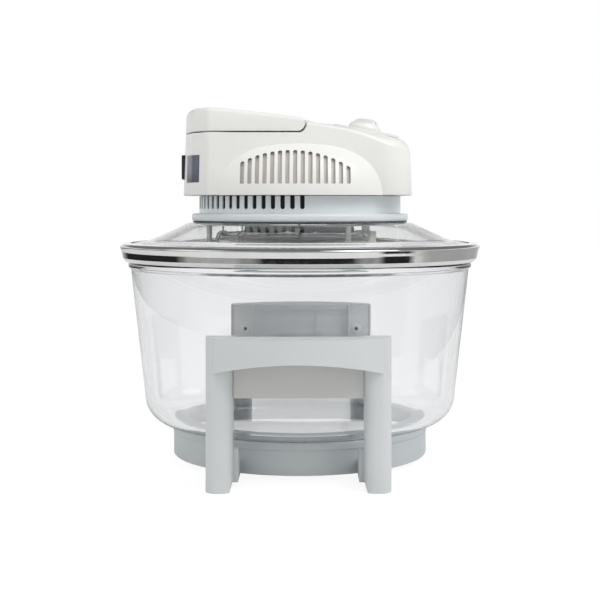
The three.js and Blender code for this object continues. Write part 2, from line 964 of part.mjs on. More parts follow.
for (const [side, turn] of [
  ["left", 0],
  ["right", Math.PI],
]) {
  const unit = new THREE.Group();
  unit.rotation.z = turn;
  oven.add(unit);
  const front = turn === 0 ? 1 : -1;
  addPiece(`handle_shell_${side}`, handleShell(), materials.greyPlastic, unit);
  addPiece(`handle_plate_${side}`, handlePlate(), materials.warmGrey, unit);
  for (const [end, sign] of [
    ["front", front],
    ["rear", -front],
  ]) {
    addPiece(
      `stand_screw_${side}_${end}`,
      standScrew(sign * standScrewX),
      materials.steel,
      unit,
    );
    addPiece(
      `foot_screw_${side}_${end}`,
      footScrew(sign * footScrewX),
      materials.steel,
      unit,
    );
  }
}

// Glass bowl

function bowl() {
  const corner = arcPoints(
    [bowlCornerCentreRadius, bowlCornerCentreZ],
    bowlCornerRadius,
    0,
    -90,
    bowlCornerSteps,
  );
  const innerCorner = arcPoints(
    [bowlCornerCentreRadius, bowlCornerCentreZ],
    bowlCornerRadius - bowlThickness,
    -90,
    0,
    bowlCornerSteps,
  );
  return revolved([
    [0, bowlBottomZ],
    ...corner.reverse(),
    [bowlWallTopRadius - bowlSlope * bowlBeadRound, bowlBeadLowZ - bowlBeadRound],
    [bowlBeadRadius, bowlBeadLowZ + bowlBeadRound],
    [bowlBeadRadius, bowlRimZ - bowlBeadRound],
    [bowlBeadRadius - bowlBeadRound, bowlRimZ],
    [bowlWallTopRadius - bowlThickness + bowlBeadRound, bowlRimZ],
    [bowlWallTopRadius - bowlThickness, bowlRimZ - bowlBeadRound],
    ...innerCorner.reverse(),
    [0, bowlBottomZ + bowlThickness],
  ]);
}

addPiece("glass_bowl", bowl(), materials.glass);

// Glass lid and its band

function lidGlass() {
  const skirtInner = lidEdgeRadius - lidSkirtThickness;
  return revolved([
    [lidHoleRadius, lidNeckZ - lidThickness],
    [lidHoleRadius, lidNeckZ],
    [lidNeckRadius, lidNeckZ],
    [lidConeFootRadius, lidConeFootZ],
    [lidEdgeRadius - lidEdgeChamfer, lidEdgeZ],
    [lidEdgeRadius, lidEdgeZ - lidEdgeChamfer],
    [lidEdgeRadius - lidSkirtTaper, lidSkirtBottomZ],
    [skirtInner - lidSkirtTaper, lidSkirtBottomZ],
    [skirtInner, lidEdgeZ - lidThickness - lidSkirtFillet],
    [lidConeFootRadius - lidBendSetback, lidConeFootZ - lidThickness],
    [lidNeckRadius - lidBendSetback, lidNeckZ - lidThickness],
  ]);
}

function rimBand() {
  const lidTopZ = onLine(
    [lidConeFootRadius, lidEdgeRadius - lidEdgeChamfer],
    [lidConeFootZ, lidEdgeZ],
    bandTopInner,
  );
  const topZ = lidTopZ + gap + bandThickness;
  const bottomZ = bowlRimZ + gap;
  return revolved([
    [bandTopInner, topZ - bandThickness],
    [bandTopInner, topZ],
    [bandTipRadius - bandTipRound, bandTipZ + bandTipRise],
    [bandTipRadius, bandTipZ],
    [bandWaistRadius, bandWaistZ],
    [bandLowRadius, bandLowZ],
    [bandFootRadius, bottomZ],
    [bandBottomInner, bottomZ],
    [bandBottomInner, bottomZ + bandThickness],
    [bandFootRadius - gap, bottomZ + bandThickness],
    [bandLowRadius - bandThickness, bandLowZ + gap],
    [bandWaistRadius - bandThickness, bandWaistZ],
    [bandTipRadius - bandThickness - gap, bandTipZ],
    [bandTipRadius - bandTipRound - gap, bandTipZ + bandTipRise - bandThickness],
  ]);
}

addPiece("lid_glass", lidGlass(), materials.glass);
addPiece("rim_band", rimBand(), materials.steel);

// Gasket, flange and collar

function flangeGasket() {
  const inner = lidHoleRadius;
  return revolved(
    [
      [inner, gasketZ],
      [gasketOuter, gasketZ],
      [gasketOuter, gasketZ + gasketThickness],
      [inner, gasketZ + gasketThickness],
    ],
    bigSteps,
  );
}

function slotCutter() {
  const half = slotWidth / 2;
  const outline = [
    ...arcPoints([0, slotBottomZ + half], half, 180, 360, slotSteps),
    [half, collarTopZ + overrun],
    [-half, collarTopZ + overrun],
  ];
  return crosswise(
    outline,
    collarRadius - collarWall - overrun,
    collarRadius + overrun,
  );
}

function lidCollar() {
  const ring = revolved(
    [
      [flangeInner, flangeBottomZ],
      [flangeRadius - flangeEdge, flangeBottomZ],
      [flangeRadius, flangeBottomZ + flangeEdge],
      [flangeRadius, flangeTopZ - flangeEdge],
      [flangeRadius - flangeEdge, flangeTopZ],
      [collarRadius, flangeTopZ],
      [collarRadius, collarTopZ],
      [collarRadius - collarWall, collarTopZ],
      [collarRadius - collarWall, flangeBottomZ + flangeFloor],
      [flangeInner, flangeBottomZ + flangeFloor],
    ],
    bigSteps,
  );
  const cutter = geometryOf(slotCutter());
  const cuts = [];
  for (let i = 0; i < slotPairs; i += 1) {
    const offset = slotPitchDegrees * (i + 0.5);
    for (const side of [1, -1]) {
      const angle = THREE.MathUtils.degToRad(90 + side * offset);
      cuts.push(solidOf(cutter.clone().rotateZ(angle)));
    }
  }
  return cutBy(ring, ...cuts);
}

addPiece("flange_gasket", flangeGasket(), materials.black);
addPiece("lid_collar", lidCollar(), materials.greyPlastic);

// Head housing

// The head's plan at a height: bowed rear, chamfered rear corners, rounded front corners.
function headPlan(z, inset) {
  const rise = (z - headBottomZ) / headLeanHeight;
  const rear = headRearX + headRearLean * rise + inset;
  const front = headFrontX - headFrontLean * rise - inset;
  const half = headHalfWidth - inset;
  const bowDepth = headRearChamferX - headRearX;
  const points = [];
  for (let i = 0; i <= headRearBowSteps; i += 1) {
    const share = 1 - (2 * i) / headRearBowSteps;
    points.push([rear + bowDepth * share ** 2, headRearChamferY * share, z]);
  }
  points.push([headSideStartX, -half, z]);
  const radius = headFrontCorner - inset;
  for (const [x, y] of arcPoints(
    [front - radius, -half + radius],
    radius,
    -90,
    0,
    headCornerSteps,
  )) {
    points.push([x, y, z]);
  }
  for (const [x, y] of arcPoints(
    [front - radius, half - radius],
    radius,
    0,
    90,
    headCornerSteps,
  )) {
    points.push([x, y, z]);
  }
  points.push([headSideStartX, half, z]);
  return points;
}

function headStack(lowZ, highZ, inset) {
  return lofted([headPlan(lowZ, inset), headPlan(highZ, inset)]);
}

// A long crowned roof over stations along X: everything under a top line and a shoulder line.
function crownedRoof(stations, topZs, shoulderZs, shoulderInset, drop, lowZ) {
  const reach = headHalfWidth + overrun;
  return lofted(
    stations.map((x, i) => {
      const top = topZs[i] - drop;
      const shoulder = shoulderZs[i] - drop;
      const inner = headHalfWidth - shoulderInset;
      const fall = (top - shoulder) / shoulderInset;
      const outer = top - fall * (reach - inner);
      return [
        [x, -reach, lowZ],
        [x, reach, lowZ],
        [x, reach, outer],
        [x, inner, top],
        [x, -inner, top],
        [x, -reach, outer],
      ];
    }),
  );
}

function noseRoof(drop, startX) {
  const along = [startX, ...noseStations.filter((x) => x > startX)];
  return crownedRoof(
    [...along, noseRoundX, headFrontX + overrun],
    [...along.map((x) => onLine(noseStations, noseTopLine, x)), noseRoundZ, headBottomZ],
    [
      ...along.map((x) => onLine(noseStations, noseShoulderLine, x)),
      noseRoundZ - noseRoundFall,
      headBottomZ - overrun,
    ],
    noseShoulderInset,
    drop,
    headBottomZ - noseRoundFall - drop,
  );
}

// The louvre bulge: a dome about the collar's axis that stands out of the flat sides.
function bulge(inset) {
  const reach = bulgeReach - inset;
  const height = bulgeHeight - inset;
  const low = headBottomZ + (inset > 0 ? headFloorThickness : 0);
  const start = THREE.MathUtils.radToDeg(Math.asin((low - headBottomZ) / height));
  const dome = [];
  for (let i = 0; i <= bulgeSteps; i += 1) {
    const angle = THREE.MathUtils.degToRad(start + ((90 - start) * i) / bulgeSteps);
    dome.push([
      bulgeCoreRadius + reach * Math.cos(angle),
      headBottomZ + height * Math.sin(angle),
    ]);
  }
  return revolved([[0, low], ...dome, [0, headBottomZ + height]]);
}

// The height of the arch that the louvre slots end under.
function louvreArchZ(x) {
  const sideways = x - louvreArchX;
  return (
    louvrePeakZ - louvreArchRadius + Math.sqrt(louvreArchRadius ** 2 - sideways ** 2)
  );
}

function louvreCuts() {
  const near = headHalfWidth - headWall - overrun;
  const far = bulgeCoreRadius + bulgeReach + overrun;
  const cuts = [];
  for (let i = 0; i < louvreCount; i += 1) {
    const left = louvreFirstX + i * louvrePitch - louvreWidth / 2;
    const right = left + louvreWidth;
    const outline = [
      [left, louvreBottomZ],
      [right, louvreBottomZ],
      [right, louvreArchZ(right)],
      [left, louvreArchZ(left)],
    ];
    cuts.push(crosswise(outline, near, far), crosswise(outline, -far, -near));
  }
  return cuts;
}

// A frame on the sloping panel: along runs down the slope, across along Y, out off the face.
const panelSlope = Math.atan2(panelRearZ - panelFrontZ, panelFrontX - panelRearX);

function onPanel(solid) {
  return solidOf(
    geometryOf(solid)
      .rotateY(panelSlope)
      .translate(panelRearX, 0, panelRearZ),
  );
}

const panelLength = Math.hypot(panelFrontX - panelRearX, panelRearZ - panelFrontZ);
const abovePanel = noseTopLine[0] - panelFrontZ; // clears the roof over the whole panel

function panelPocket() {
  return onPanel(
    block(
      [0, -panelHalfWidth, 0],
      [panelLength, panelHalfWidth, abovePanel],
    ),
  );
}

// The handle's top line runs smoothly into its round ends.
const handleTopXs = [...handleTopPlaces.map((place) => headRearX + place), pivotX];
const handleTopZs = [...handleTopRises, handleEndRadius].map((rise) => pivotZ + rise);

function handleTop(x) {
  return onLine(handleTopXs, handleTopZs, x);
}

// The part of the head that fills the folded handle's middle.
function headIsland() {
  const half = headHalfWidth - handleArmWidth - islandGap;
  const stations = handleTopXs.slice(0, -1).filter((x) => x > islandRearX);
  const outline = [
    [islandRearX, partingZ - headWall - overrun],
    [noseStepX + overrun, partingZ - headWall - overrun],
    [noseStepX + overrun, handleTop(noseStepX) - islandNoseDrop],
    ...stations.reverse().map((x) => [x, handleTop(x) - islandDrop]),
    [islandRearX, handleTop(islandRearX) - islandDrop],
  ];
  return crosswise(outline, -half, half);
}

function pinBore(side) {
  const outer = side * (headHalfWidth - headWall);
  return rod(
    handlePinRadius + gap,
    [pivotX, outer, pivotZ],
    [pivotX, outer - side * (handlePinLength + overrun), pivotZ],
    smallSteps,
  );
}

const inletPadX = inletFaceX + inletFlangeThickness + gap;

function inletCuts() {
  const halfY = inletFlangeWidth / 2;
  const halfZ = inletFlangeHeight / 2;
  const pad = block(
    [headRearX - overrun, -halfY - gap, inletCentreZ - halfZ - gap],
    [inletPadX, halfY + gap, inletCentreZ + halfZ + gap],
  );
  const mouth = block(
    [
      inletPadX - overrun,
      -inletBodyWidth / 2 - gap,
      inletCentreZ - inletBodyHeight / 2 - gap,
    ],
    [
      inletFaceX + inletBodyDepth,
      inletBodyWidth / 2 + gap,
      inletCentreZ + inletBodyHeight / 2 + gap,
    ],
  );
  return [pad, mouth];
}

// A thicker rear wall behind the inlet's flange, so that its flat seat leaves no hole.
function inletSeat() {
  const halfY = inletFlangeWidth / 2 + headWall;
  const halfZ = inletFlangeHeight / 2 + headWall;
  return commonOf(
    block(
      [headRearX, -halfY, inletCentreZ - halfZ],
      [inletPadX + headWall, halfY, inletCentreZ + halfZ],
    ),
    headStack(headBottomZ, partingZ, 0),
  );
}

// A point of the panel's frame in the oven's frame.
function panelPoint(along, across, out) {
  const point = new THREE.Vector3(along, across, out)
    .applyAxisAngle(new THREE.Vector3(0, 1, 0), panelSlope)
    .add(new THREE.Vector3(panelRearX, 0, panelRearZ));
  return point.toArray();
}

function panelRod(radius, along, across, low, high, sides = smallSteps) {
  return rod(
    radius,
    panelPoint(along, across, low),
    panelPoint(along, across, high),
    sides,
  );
}

function panelHoles(low, high) {
  const holes = [];
  for (const side of [1, -1]) {
    holes.push(
      panelRod(controlNeckRadius + gap, knobAlong, side * knobAcross, low, high),
      panelRod(
        lampLensRadius + gap,
        lampLensAlong,
        side * lampLensAcross,
        low,
        high,
        pinSteps,
      ),
    );
  }
  return holes;
}

function plungerBore(radius, low, high) {
  const y = -(headHalfWidth - handleArmWidth / 2);
  return rod(radius, [switchX, y, low], [switchX, y, high], pinSteps);
}

// What the carry handle's arms and their round ends take from the head.
function armCuts() {
  const inner = headHalfWidth - handleArmWidth - islandGap;
  const far = headHalfWidth + overrun;
  const top = handleTop(headSideStartX) + overrun;
  const arms = [1, -1].map((side) =>
    rod(
      handleEndRadius + handleGroove,
      [pivotX, side * inner, pivotZ],
      [pivotX, side * far, pivotZ],
      roundSteps,
    ),
  );
  return [...arms, block([headRearX - overrun, -far, partingZ], [pivotX, far, top])];
}

function headHousing() {
  const stackTop = noseTopLine[0] + overrun;
  const outerStack = headStack(headBottomZ, stackTop, 0);
  const rearBlock = block(
    [headRearX - overrun, -headHalfWidth - overrun, headBottomZ - overrun],
    [noseStepX + overrun, headHalfWidth + overrun, partingZ],
  );
  const bulgeFar = bulgeCoreRadius + bulgeReach + overrun;
  const betweenBulges = block(
    [-bulgeFar, -headHalfWidth + headWall, headBottomZ - overrun],
    [bulgeFar, headHalfWidth - headWall, partingZ + overrun],
  );
  const outer = joined(
    cutBy(commonOf(outerStack, noseRoof(0, pivotX - handleEndRadius)), ...armCuts()),
    commonOf(outerStack, rearBlock),
    headIsland(),
    cutBy(bulge(0), betweenBulges),
  );
  const floorZ = headBottomZ + headFloorThickness;
  const innerStack = headStack(floorZ, stackTop, headWall);
  const cavityRear = noseStepX + overrun + headWall;
  const innerRear = block(
    [headRearX - overrun, -headHalfWidth, floorZ - overrun],
    [cavityRear, headHalfWidth, partingZ - headWall],
  );
  const pocketFloor = onPanel(
    block(
      [-overrun, -panelHalfWidth - headWall, -panelPocketFloor],
      [panelLength + overrun, panelHalfWidth + headWall, abovePanel],
    ),
  );
  const cavity = joined(
    cutBy(commonOf(innerStack, noseRoof(headWall, noseStepX + headWall)), pocketFloor),
    commonOf(innerStack, innerRear),
    bulge(headWall),
  );
  const floorHole = rod(
    headFloorHole,
    [0, 0, headBottomZ - overrun],
    [0, 0, floorZ + overrun],
    bigSteps,
  );
  const panelBoreLow = -panelPocketFloor - headWall - overrun;
  return cutBy(
    joined(cutBy(outer, cavity), inletSeat()),
    floorHole,
    panelPocket(),
    ...louvreCuts(),
    pinBore(1),
    pinBore(-1),
    ...inletCuts(),
    ...panelHoles(panelBoreLow, overrun),
    plungerBore(plungerRadius + gap, partingZ - headWall - overrun, partingZ + overrun),
  );
}

addPiece("head_housing", headHousing(), materials.ivory);

// Carry handle and its hinge pins

function carryHandle() {
  const roofXs = [...handleTopXs, pivotX + handleEndRadius];
  const tops = roofXs.map((x) => handleTop(x));
  const roof = crownedRoof(
    roofXs,
    tops,
    tops.map((z) => z - handleShoulderDrop),
    handleShoulderInset,
    0,
    handleBottomZ,
  );
  const solidBar = commonOf(headStack(handleBottomZ, handleTop(headSideStartX), 0), roof);
  const armEnds = joined(
    block(
      [headRearX - overrun, -headHalfWidth, handleBottomZ],
      [pivotX, headHalfWidth, handleTop(headSideStartX) + overrun],
    ),
    rod(
      handleEndRadius,
      [pivotX, -headHalfWidth - overrun, pivotZ],
      [pivotX, headHalfWidth + overrun, pivotZ],
      roundSteps,
    ),
  );
  const inner = block(
    [
      handleBarInnerX,
      -(headHalfWidth - handleArmWidth),
      handleBottomZ - overrun,
    ],
    [
      noseStepX + overrun,
      headHalfWidth - handleArmWidth,
      handleTop(headSideStartX) + overrun,
    ],
  );
  return cutBy(commonOf(solidBar, armEnds), inner, pinBore(1), pinBore(-1));
}

function handlePin(side) {
  const outer = side * (headHalfWidth - headWall - gap);
  return rod(
    handlePinRadius,
    [pivotX, outer, pivotZ],
    [pivotX, outer - side * handlePinLength, pivotZ],
    smallSteps,
  );
}

addPiece("carry_handle", carryHandle(), materials.ivory);
addPiece("handle_pin_left", handlePin(1), materials.steel);
addPiece("handle_pin_right", handlePin(-1), materials.steel);

// Control panel, lenses, knobs, timer and thermostat

function controlPanel() {
  const plate = onPanel(
    block(
      [gap, -panelHalfWidth + gap, gap],
      [panelLength - gap, panelHalfWidth - gap, panelThickness],
    ),
  );
  return cutBy(plate, ...panelHoles(-overrun, panelThickness + overrun));
}

function lampLens(side) {
  return panelRod(
    lampLensRadius,
    lampLensAlong,
    side * lampLensAcross,
    -panelPocketFloor,
    panelThickness + lampLensHeight,
    pinSteps,
  );
}

const knobBaseOut = panelThickness + gap * 2;

// The knob's outline, as shares of its radius and height.
const knobOutlineShares = [
  [0, 0],
  [1, 0],
  [1, 0.2],
  [0.91, 0.4],
  [0.78, 0.8],
  [0.42, 0.98],
  [0, 1],
];

// A domed cap with a scoop on each side of its grip.
function knob(side) {
  const cap = revolved(
    knobOutlineShares.map(([out, up]) => [out * knobRadius, up * knobHeight]),
    roundSteps,
  );
  const reach = knobRadius + overrun;
  const scoop = block(
    [-reach, knobGripWidth / 2, knobGripFoot],
    [reach, reach, knobHeight + overrun],
  );
  const bore = rod(
    knobShaftRadius + gap,
    [0, 0, -overrun],
    [0, 0, knobBoreDepth],
    pinSteps,
  );
  const made = cutBy(cap, scoop, turnedHalfTurn(scoop), bore);
  return onPanel(
    solidOf(
      geometryOf(made).translate(knobAlong, side * knobAcross, knobBaseOut),
    ),
  );
}

function knobShaft(side) {
  return panelRod(
    knobShaftRadius,
    knobAlong,
    side * knobAcross,
    -knobShaftBelow,
    knobBaseOut + knobBoreDepth - gap,
    pinSteps,
  );
}

function controlBody(side) {
  const top = -panelPocketFloor - gap;
  const body = onPanel(
    block(
      [
        knobAlong - controlBodyLength / 2,
        side * knobAcross - controlBodyWidth / 2,
        top - controlBodyHeight,
      ],
      [
        knobAlong + controlBodyLength / 2,
        side * knobAcross + controlBodyWidth / 2,
        top,
      ],
    ),
  );
  const neck = panelRod(
    controlNeckRadius,
    knobAlong,
    side * knobAcross,
    top - overrun,
    top + controlNeckHeight - gap,
  );
  const bore = panelRod(
    knobShaftRadius + gap,
    knobAlong,
    side * knobAcross,
    -knobShaftBelow - gap,
    top + controlNeckHeight + overrun,
  );
  return cutBy(joined(body, neck), bore);
}

addPiece("control_panel", controlPanel(), materials.ivory);
addPiece("power_lamp", lampLens(1), materials.green);
addPiece("heat_lamp", lampLens(-1), materials.amber);
for (const [name, side] of [
  ["timer", 1],
  ["thermostat", -1],
]) {
  addPiece(`${name}_body`, controlBody(side), materials.steel);
  addPiece(`${name}_shaft`, knobShaft(side), materials.brass);
  addPiece(`${name}_knob`, knob(side), materials.ivory);
}

// Mains inlet

function inletPinBox(y, z, extra) {
  const start = inletFaceX + inletPinRecess;
  return block(
    [start, y - inletPinWidth / 2 - extra, z - inletPinHeight / 2 - extra],
    [
      start + inletPinLength + extra,
      y + inletPinWidth / 2 + extra,
      z + inletPinHeight / 2 + extra,
    ],
  );
}

const inletPins = {
  inlet_pin_earth: [0, inletCentreZ + inletEarthRise],
  inlet_pin_live: [inletPinSpread, inletCentreZ - inletPinDrop],
  inlet_pin_neutral: [-inletPinSpread, inletCentreZ - inletPinDrop],
};

function powerInlet() {
  const flange = block(
    [inletFaceX, -inletFlangeWidth / 2, inletCentreZ - inletFlangeHeight / 2],
    [
      inletFaceX + inletFlangeThickness,
      inletFlangeWidth / 2,
      inletCentreZ + inletFlangeHeight / 2,
    ],
  );
  const body = block(
    [
      inletFaceX + inletFlangeThickness / 2,
      -inletBodyWidth / 2,
      inletCentreZ - inletBodyHeight / 2,
    ],
    [
      inletFaceX + inletBodyDepth,
      inletBodyWidth / 2,
      inletCentreZ + inletBodyHeight / 2,
    ],
  );
  const socket = block(
    [
      inletFaceX - overrun,
      -inletSocketWidth / 2,
      inletCentreZ - inletSocketHeight / 2,
    ],
    [
      inletFaceX + inletSocketDepth,
      inletSocketWidth / 2,
      inletCentreZ + inletSocketHeight / 2,
    ],
  );
  const pinSlots = Object.values(inletPins).map(([y, z]) =>
    inletPinBox(y, z, gap),
  );
  return cutBy(joined(flange, body), socket, ...pinSlots);
}

addPiece("power_inlet", powerInlet(), materials.black);
for (const [name, [y, z]] of Object.entries(inletPins)) {
  addPiece(name, inletPinBox(y, z, 0), materials.brass);
}

// Motor, bracket, shaft and fans

function motor() {
  const can = revolved(
    [
      [0, motorZ],
      [motorRadius, motorZ],
      [motorRadius, motorZ + motorHeight],
      [motorEndRadius, motorZ + motorHeight],
      [motorEndRadius, motorZ + motorHeight + motorEndHeight],
      [0, motorZ + motorHeight + motorEndHeight],
    ],
    mediumSteps,
  );
  const bore = rod(
    shaftRadius + gap,
    [0, 0, motorZ - overrun],
    [0, 0, shaftTopZ + gap],
    smallSteps,
  );
  return cutBy(can, bore);
}

function motorBracket() {
  const bar = block(
    [-bracketHalfLength, -bracketWidth / 2, bracketZ],
    [bracketHalfLength, bracketWidth / 2, bracketZ + bracketThickness],
  );
  const hole = rod(
    bracketHole,
    [0, 0, bracketZ - overrun],
    [0, 0, bracketZ + bracketThickness + overrun],
  );
  return cutBy(bar, hole);
}

// Flat blades round a hub, each turned about its own radial line by its pitch.
function bladeRing(count, inner, outer, chord, thickness, pitchDegrees, z) {
  const blades = [];
  for (let i = 0; i < count; i += 1) {
    const geometry = new THREE.BoxGeometry(outer - inner, chord, thickness);
    geometry.rotateX(THREE.MathUtils.degToRad(pitchDegrees));
    geometry.translate((outer + inner) / 2, 0, z);
    geometry.rotateZ((2 * Math.PI * i) / count);
    blades.push(solidOf(geometry));
  }
  return blades;
}

function shaftBore(low, high) {
  return rod(shaftRadius + gap, [0, 0, low - overrun], [0, 0, high + overrun]);
}

function coolingFan() {
  const low = coolingFanZ - coolingFanHubHeight / 2;
  const high = coolingFanZ + coolingFanHubHeight / 2;
  const hub = rod(coolingFanHubRadius, [0, 0, low], [0, 0, high]);
  const blades = bladeRing(
    coolingBladeCount,
    coolingFanHubRadius - overrun,
    coolingFanRadius,
    coolingBladeChord,
    coolingBladeThickness,
    coolingBladePitchDegrees,
    coolingFanZ,
  );
  return cutBy(joined(hub, ...blades), shaftBore(low, high));
}

function convectionFan() {
  const low = ovenFanTopZ - ovenFanHeight;
  const disc = rod(
    ovenFanHubRadius,
    [0, 0, ovenFanTopZ - ovenFanHeight / 2 - ovenFanSheet],
    [0, 0, ovenFanTopZ - ovenFanHeight / 2 + ovenFanSheet],
  );
  const chord = ovenFanHeight / Math.sin(THREE.MathUtils.degToRad(ovenBladePitchDegrees));
  const blades = bladeRing(
    ovenBladeCount,
    ovenFanHubRadius - overrun,
    ovenFanRadius,
    chord - ovenFanSheet,
    ovenFanSheet,
    ovenBladePitchDegrees,
    ovenFanTopZ - ovenFanHeight / 2,
  );
  return cutBy(joined(disc, ...blades), shaftBore(low, ovenFanTopZ));
}

function fanNut() {
  const low = fanNutTopZ - fanNutHeight;
  return cutBy(
    rod(fanNutRadius, [0, 0, low], [0, 0, fanNutTopZ], nutSides),
    shaftBore(low, fanNutTopZ),
  );
}

addPiece("motor", motor(), materials.darkSteel);
addPiece("motor_bracket", motorBracket(), materials.steel);
addPiece(
  "motor_shaft",
  rod(shaftRadius, [0, 0, shaftBottomZ], [0, 0, shaftTopZ]),
  materials.steel,
);
addPiece("cooling_fan", coolingFan(), materials.black);
addPiece("convection_fan", convectionFan(), materials.darkSteel);
addPiece("fan_nut", fanNut(), materials.steel);

// Heat plate, lamp, guard and probe

function heatPlate() {
  const plate = rod(
    heatPlateRadius,
    [0, 0, heatPlateZ],
    [0, 0, heatPlateZ + heatPlateThickness],
    bigSteps,
  );
  const hole = rod(
    heatPlateHole,
    [0, 0, heatPlateZ - overrun],
    [0, 0, heatPlateZ + heatPlateThickness + overrun],
  );
  return cutBy(plate, hole);
}

// A round wire or tube bent along an arc about the axis.
function bentTube(bendRadius, tubeRadius, z, fromDegrees, toDegrees, steps, sides) {
  const rings = [];
  for (let i = 0; i <= steps; i += 1) {
    const degrees = fromDegrees + ((toDegrees - fromDegrees) * i) / steps;
    rings.push(
      arcPoints([bendRadius, z], tubeRadius, 0, 360, sides)
        .slice(0, sides)
        .map(([radius, height]) => polar(radius, degrees, height)),
    );
  }
  return lofted(rings);
}

function fullRing(radius, tubeRadius, z, steps) {
  return revolved(
    arcPoints([radius, z], tubeRadius, 0, 360, wireSteps).slice(0, wireSteps),
    steps,
  );
}

function lampTube() {
  return bentTube(
    lampRingRadius,
    lampTubeRadius,
    lampZ,
    lampGapDegrees,
    360 - lampGapDegrees,
    lampSteps,
    lampTubeSides,
  );
}

// A ceramic end block that the tube's end butts against, hung from the heat plate by its stem.
function lampCap(side) {
  const halfCapDegrees = THREE.MathUtils.radToDeg(lampCapLength / 2 / lampRingRadius);
  const degrees = side * (lampGapDegrees - halfCapDegrees - lampCapGapDegrees);
  const half = lampCapSize / 2;
  const geometry = new THREE.BoxGeometry(lampCapSize, lampCapLength, lampCapSize);
  const angle = THREE.MathUtils.degToRad(degrees);
  const capBlock = solidOf(
    geometry.rotateZ(angle).translate(...polar(lampRingRadius, degrees, lampZ)),
  );
  const stem = rod(
    lampClipRadius,
    polar(lampRingRadius, degrees, lampZ + half - overrun),
    polar(lampRingRadius, degrees, heatPlateZ - gap),
    pinSteps,
  );
  return joined(capBlock, stem);
}

function lampClip(degrees) {
  return rod(
    lampClipRadius,
    polar(lampRingRadius, degrees, lampZ + lampTubeRadius + gap),
    polar(lampRingRadius, degrees, heatPlateZ - gap),
    pinSteps,
  );
}

function guardPost(degrees) {
  return rod(
    postRadius,
    polar(postRingRadius, degrees, guardZ + guardWireRadius + gap),
    polar(postRingRadius, degrees, heatPlateZ - gap),
    pinSteps,
  );
}

function wireGuard() {
  const rings = [...guardRingRadii, postRingRadius].map((radius) =>
    fullRing(radius, guardWireRadius, guardZ, mediumSteps),
  );
  const spokes = [];
  for (let i = 0; i < guardSpokes; i += 1) {
    const degrees = (360 * (i + 0.5)) / guardSpokes;
    spokes.push(
      rod(
        guardWireRadius,
        polar(guardHubRadius, degrees, guardZ - guardWireRadius),
        polar(postRingRadius + guardWireRadius, degrees, guardZ - guardWireRadius),
        wireSteps,
      ),
    );
  }
  const hub = fullRing(guardHubRadius, guardWireRadius, guardZ, smallSteps);
  return joined(hub, ...rings, ...spokes);
}

function thermostatProbe() {
  const half = probeLength / 2;
  const bulb = rod(
    probeRadius,
    [probeRingRadius, -half, probeZ],
    [probeRingRadius, half, probeZ],
    pinSteps,
  );
  const stem = rod(
    lampClipRadius,
    [probeRingRadius, half - probeRadius, probeZ],
    [probeRingRadius, half - probeRadius, heatPlateZ - gap],
    pinSteps,
  );
  return joined(bulb, stem);
}

addPiece("heat_plate", heatPlate(), materials.steel);
addPiece("halogen_lamp", lampTube(), materials.glass);
addPiece("lamp_cap_left", lampCap(1), materials.ceramic);
addPiece("lamp_cap_right", lampCap(-1), materials.ceramic);
const clipNames = ["left", "rear", "right"];
clipNames.forEach((name, i) => {
  addPiece(`lamp_clip_${name}`, lampClip(lampClipDegrees[i]), materials.steel);
});
const postNames = ["left", "rear", "right"];
postNames.forEach((name, i) => {
  addPiece(`guard_post_${name}`, guardPost(postDegrees[i]), materials.steel);
});
addPiece("wire_guard", wireGuard(), materials.steel);
addPiece("thermostat_probe", thermostatProbe(), materials.copper);

// Safety switch and its plunger

function safetySwitch() {
  const y = -(headHalfWidth - handleArmWidth / 2);
  const top = partingZ - headWall - gap;
  const body = block(
    [switchX - switchLength / 2, y - switchWidth / 2 + gap, top - switchHeight],
    [switchX + switchLength / 2, y + switchWidth / 2, top],
  );
  return cutBy(
    body,
    plungerBore(plungerRadius + gap, top - plungerLength + overrun, top + overrun),
  );
}

function switchPlunger() {
  const top = handleBottomZ - gap;
  return plungerBore(plungerRadius, top - plungerLength, top);
}

addPiece("safety_switch", safetySwitch(), materials.black);
addPiece("switch_plunger", switchPlunger(), materials.black);

export default oven;
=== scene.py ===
"""Looks of a countertop convection oven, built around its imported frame.

The numbers below are millimetres and degrees, unless a comment says otherwise. Shapes are made in
millimetres and set down in metres. +Z is up, +X is the oven's front and the camera looks along +Y.
"""

import math

import bmesh
import bpy
from mathutils import Matrix, Vector

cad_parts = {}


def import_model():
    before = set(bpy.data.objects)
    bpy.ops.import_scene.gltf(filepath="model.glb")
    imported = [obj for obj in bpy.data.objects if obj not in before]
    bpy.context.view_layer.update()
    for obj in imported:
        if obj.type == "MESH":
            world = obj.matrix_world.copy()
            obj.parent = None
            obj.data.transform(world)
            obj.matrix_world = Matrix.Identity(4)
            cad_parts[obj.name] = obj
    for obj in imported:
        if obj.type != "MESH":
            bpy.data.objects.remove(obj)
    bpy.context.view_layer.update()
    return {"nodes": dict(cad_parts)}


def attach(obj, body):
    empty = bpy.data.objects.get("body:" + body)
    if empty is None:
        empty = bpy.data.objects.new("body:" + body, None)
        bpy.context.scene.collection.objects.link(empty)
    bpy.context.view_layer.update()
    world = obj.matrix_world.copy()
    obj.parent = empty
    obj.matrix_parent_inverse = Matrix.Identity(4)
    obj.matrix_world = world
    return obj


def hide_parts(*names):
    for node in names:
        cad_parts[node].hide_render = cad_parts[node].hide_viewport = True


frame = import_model()

MM = 0.001  # one millimetre in metres

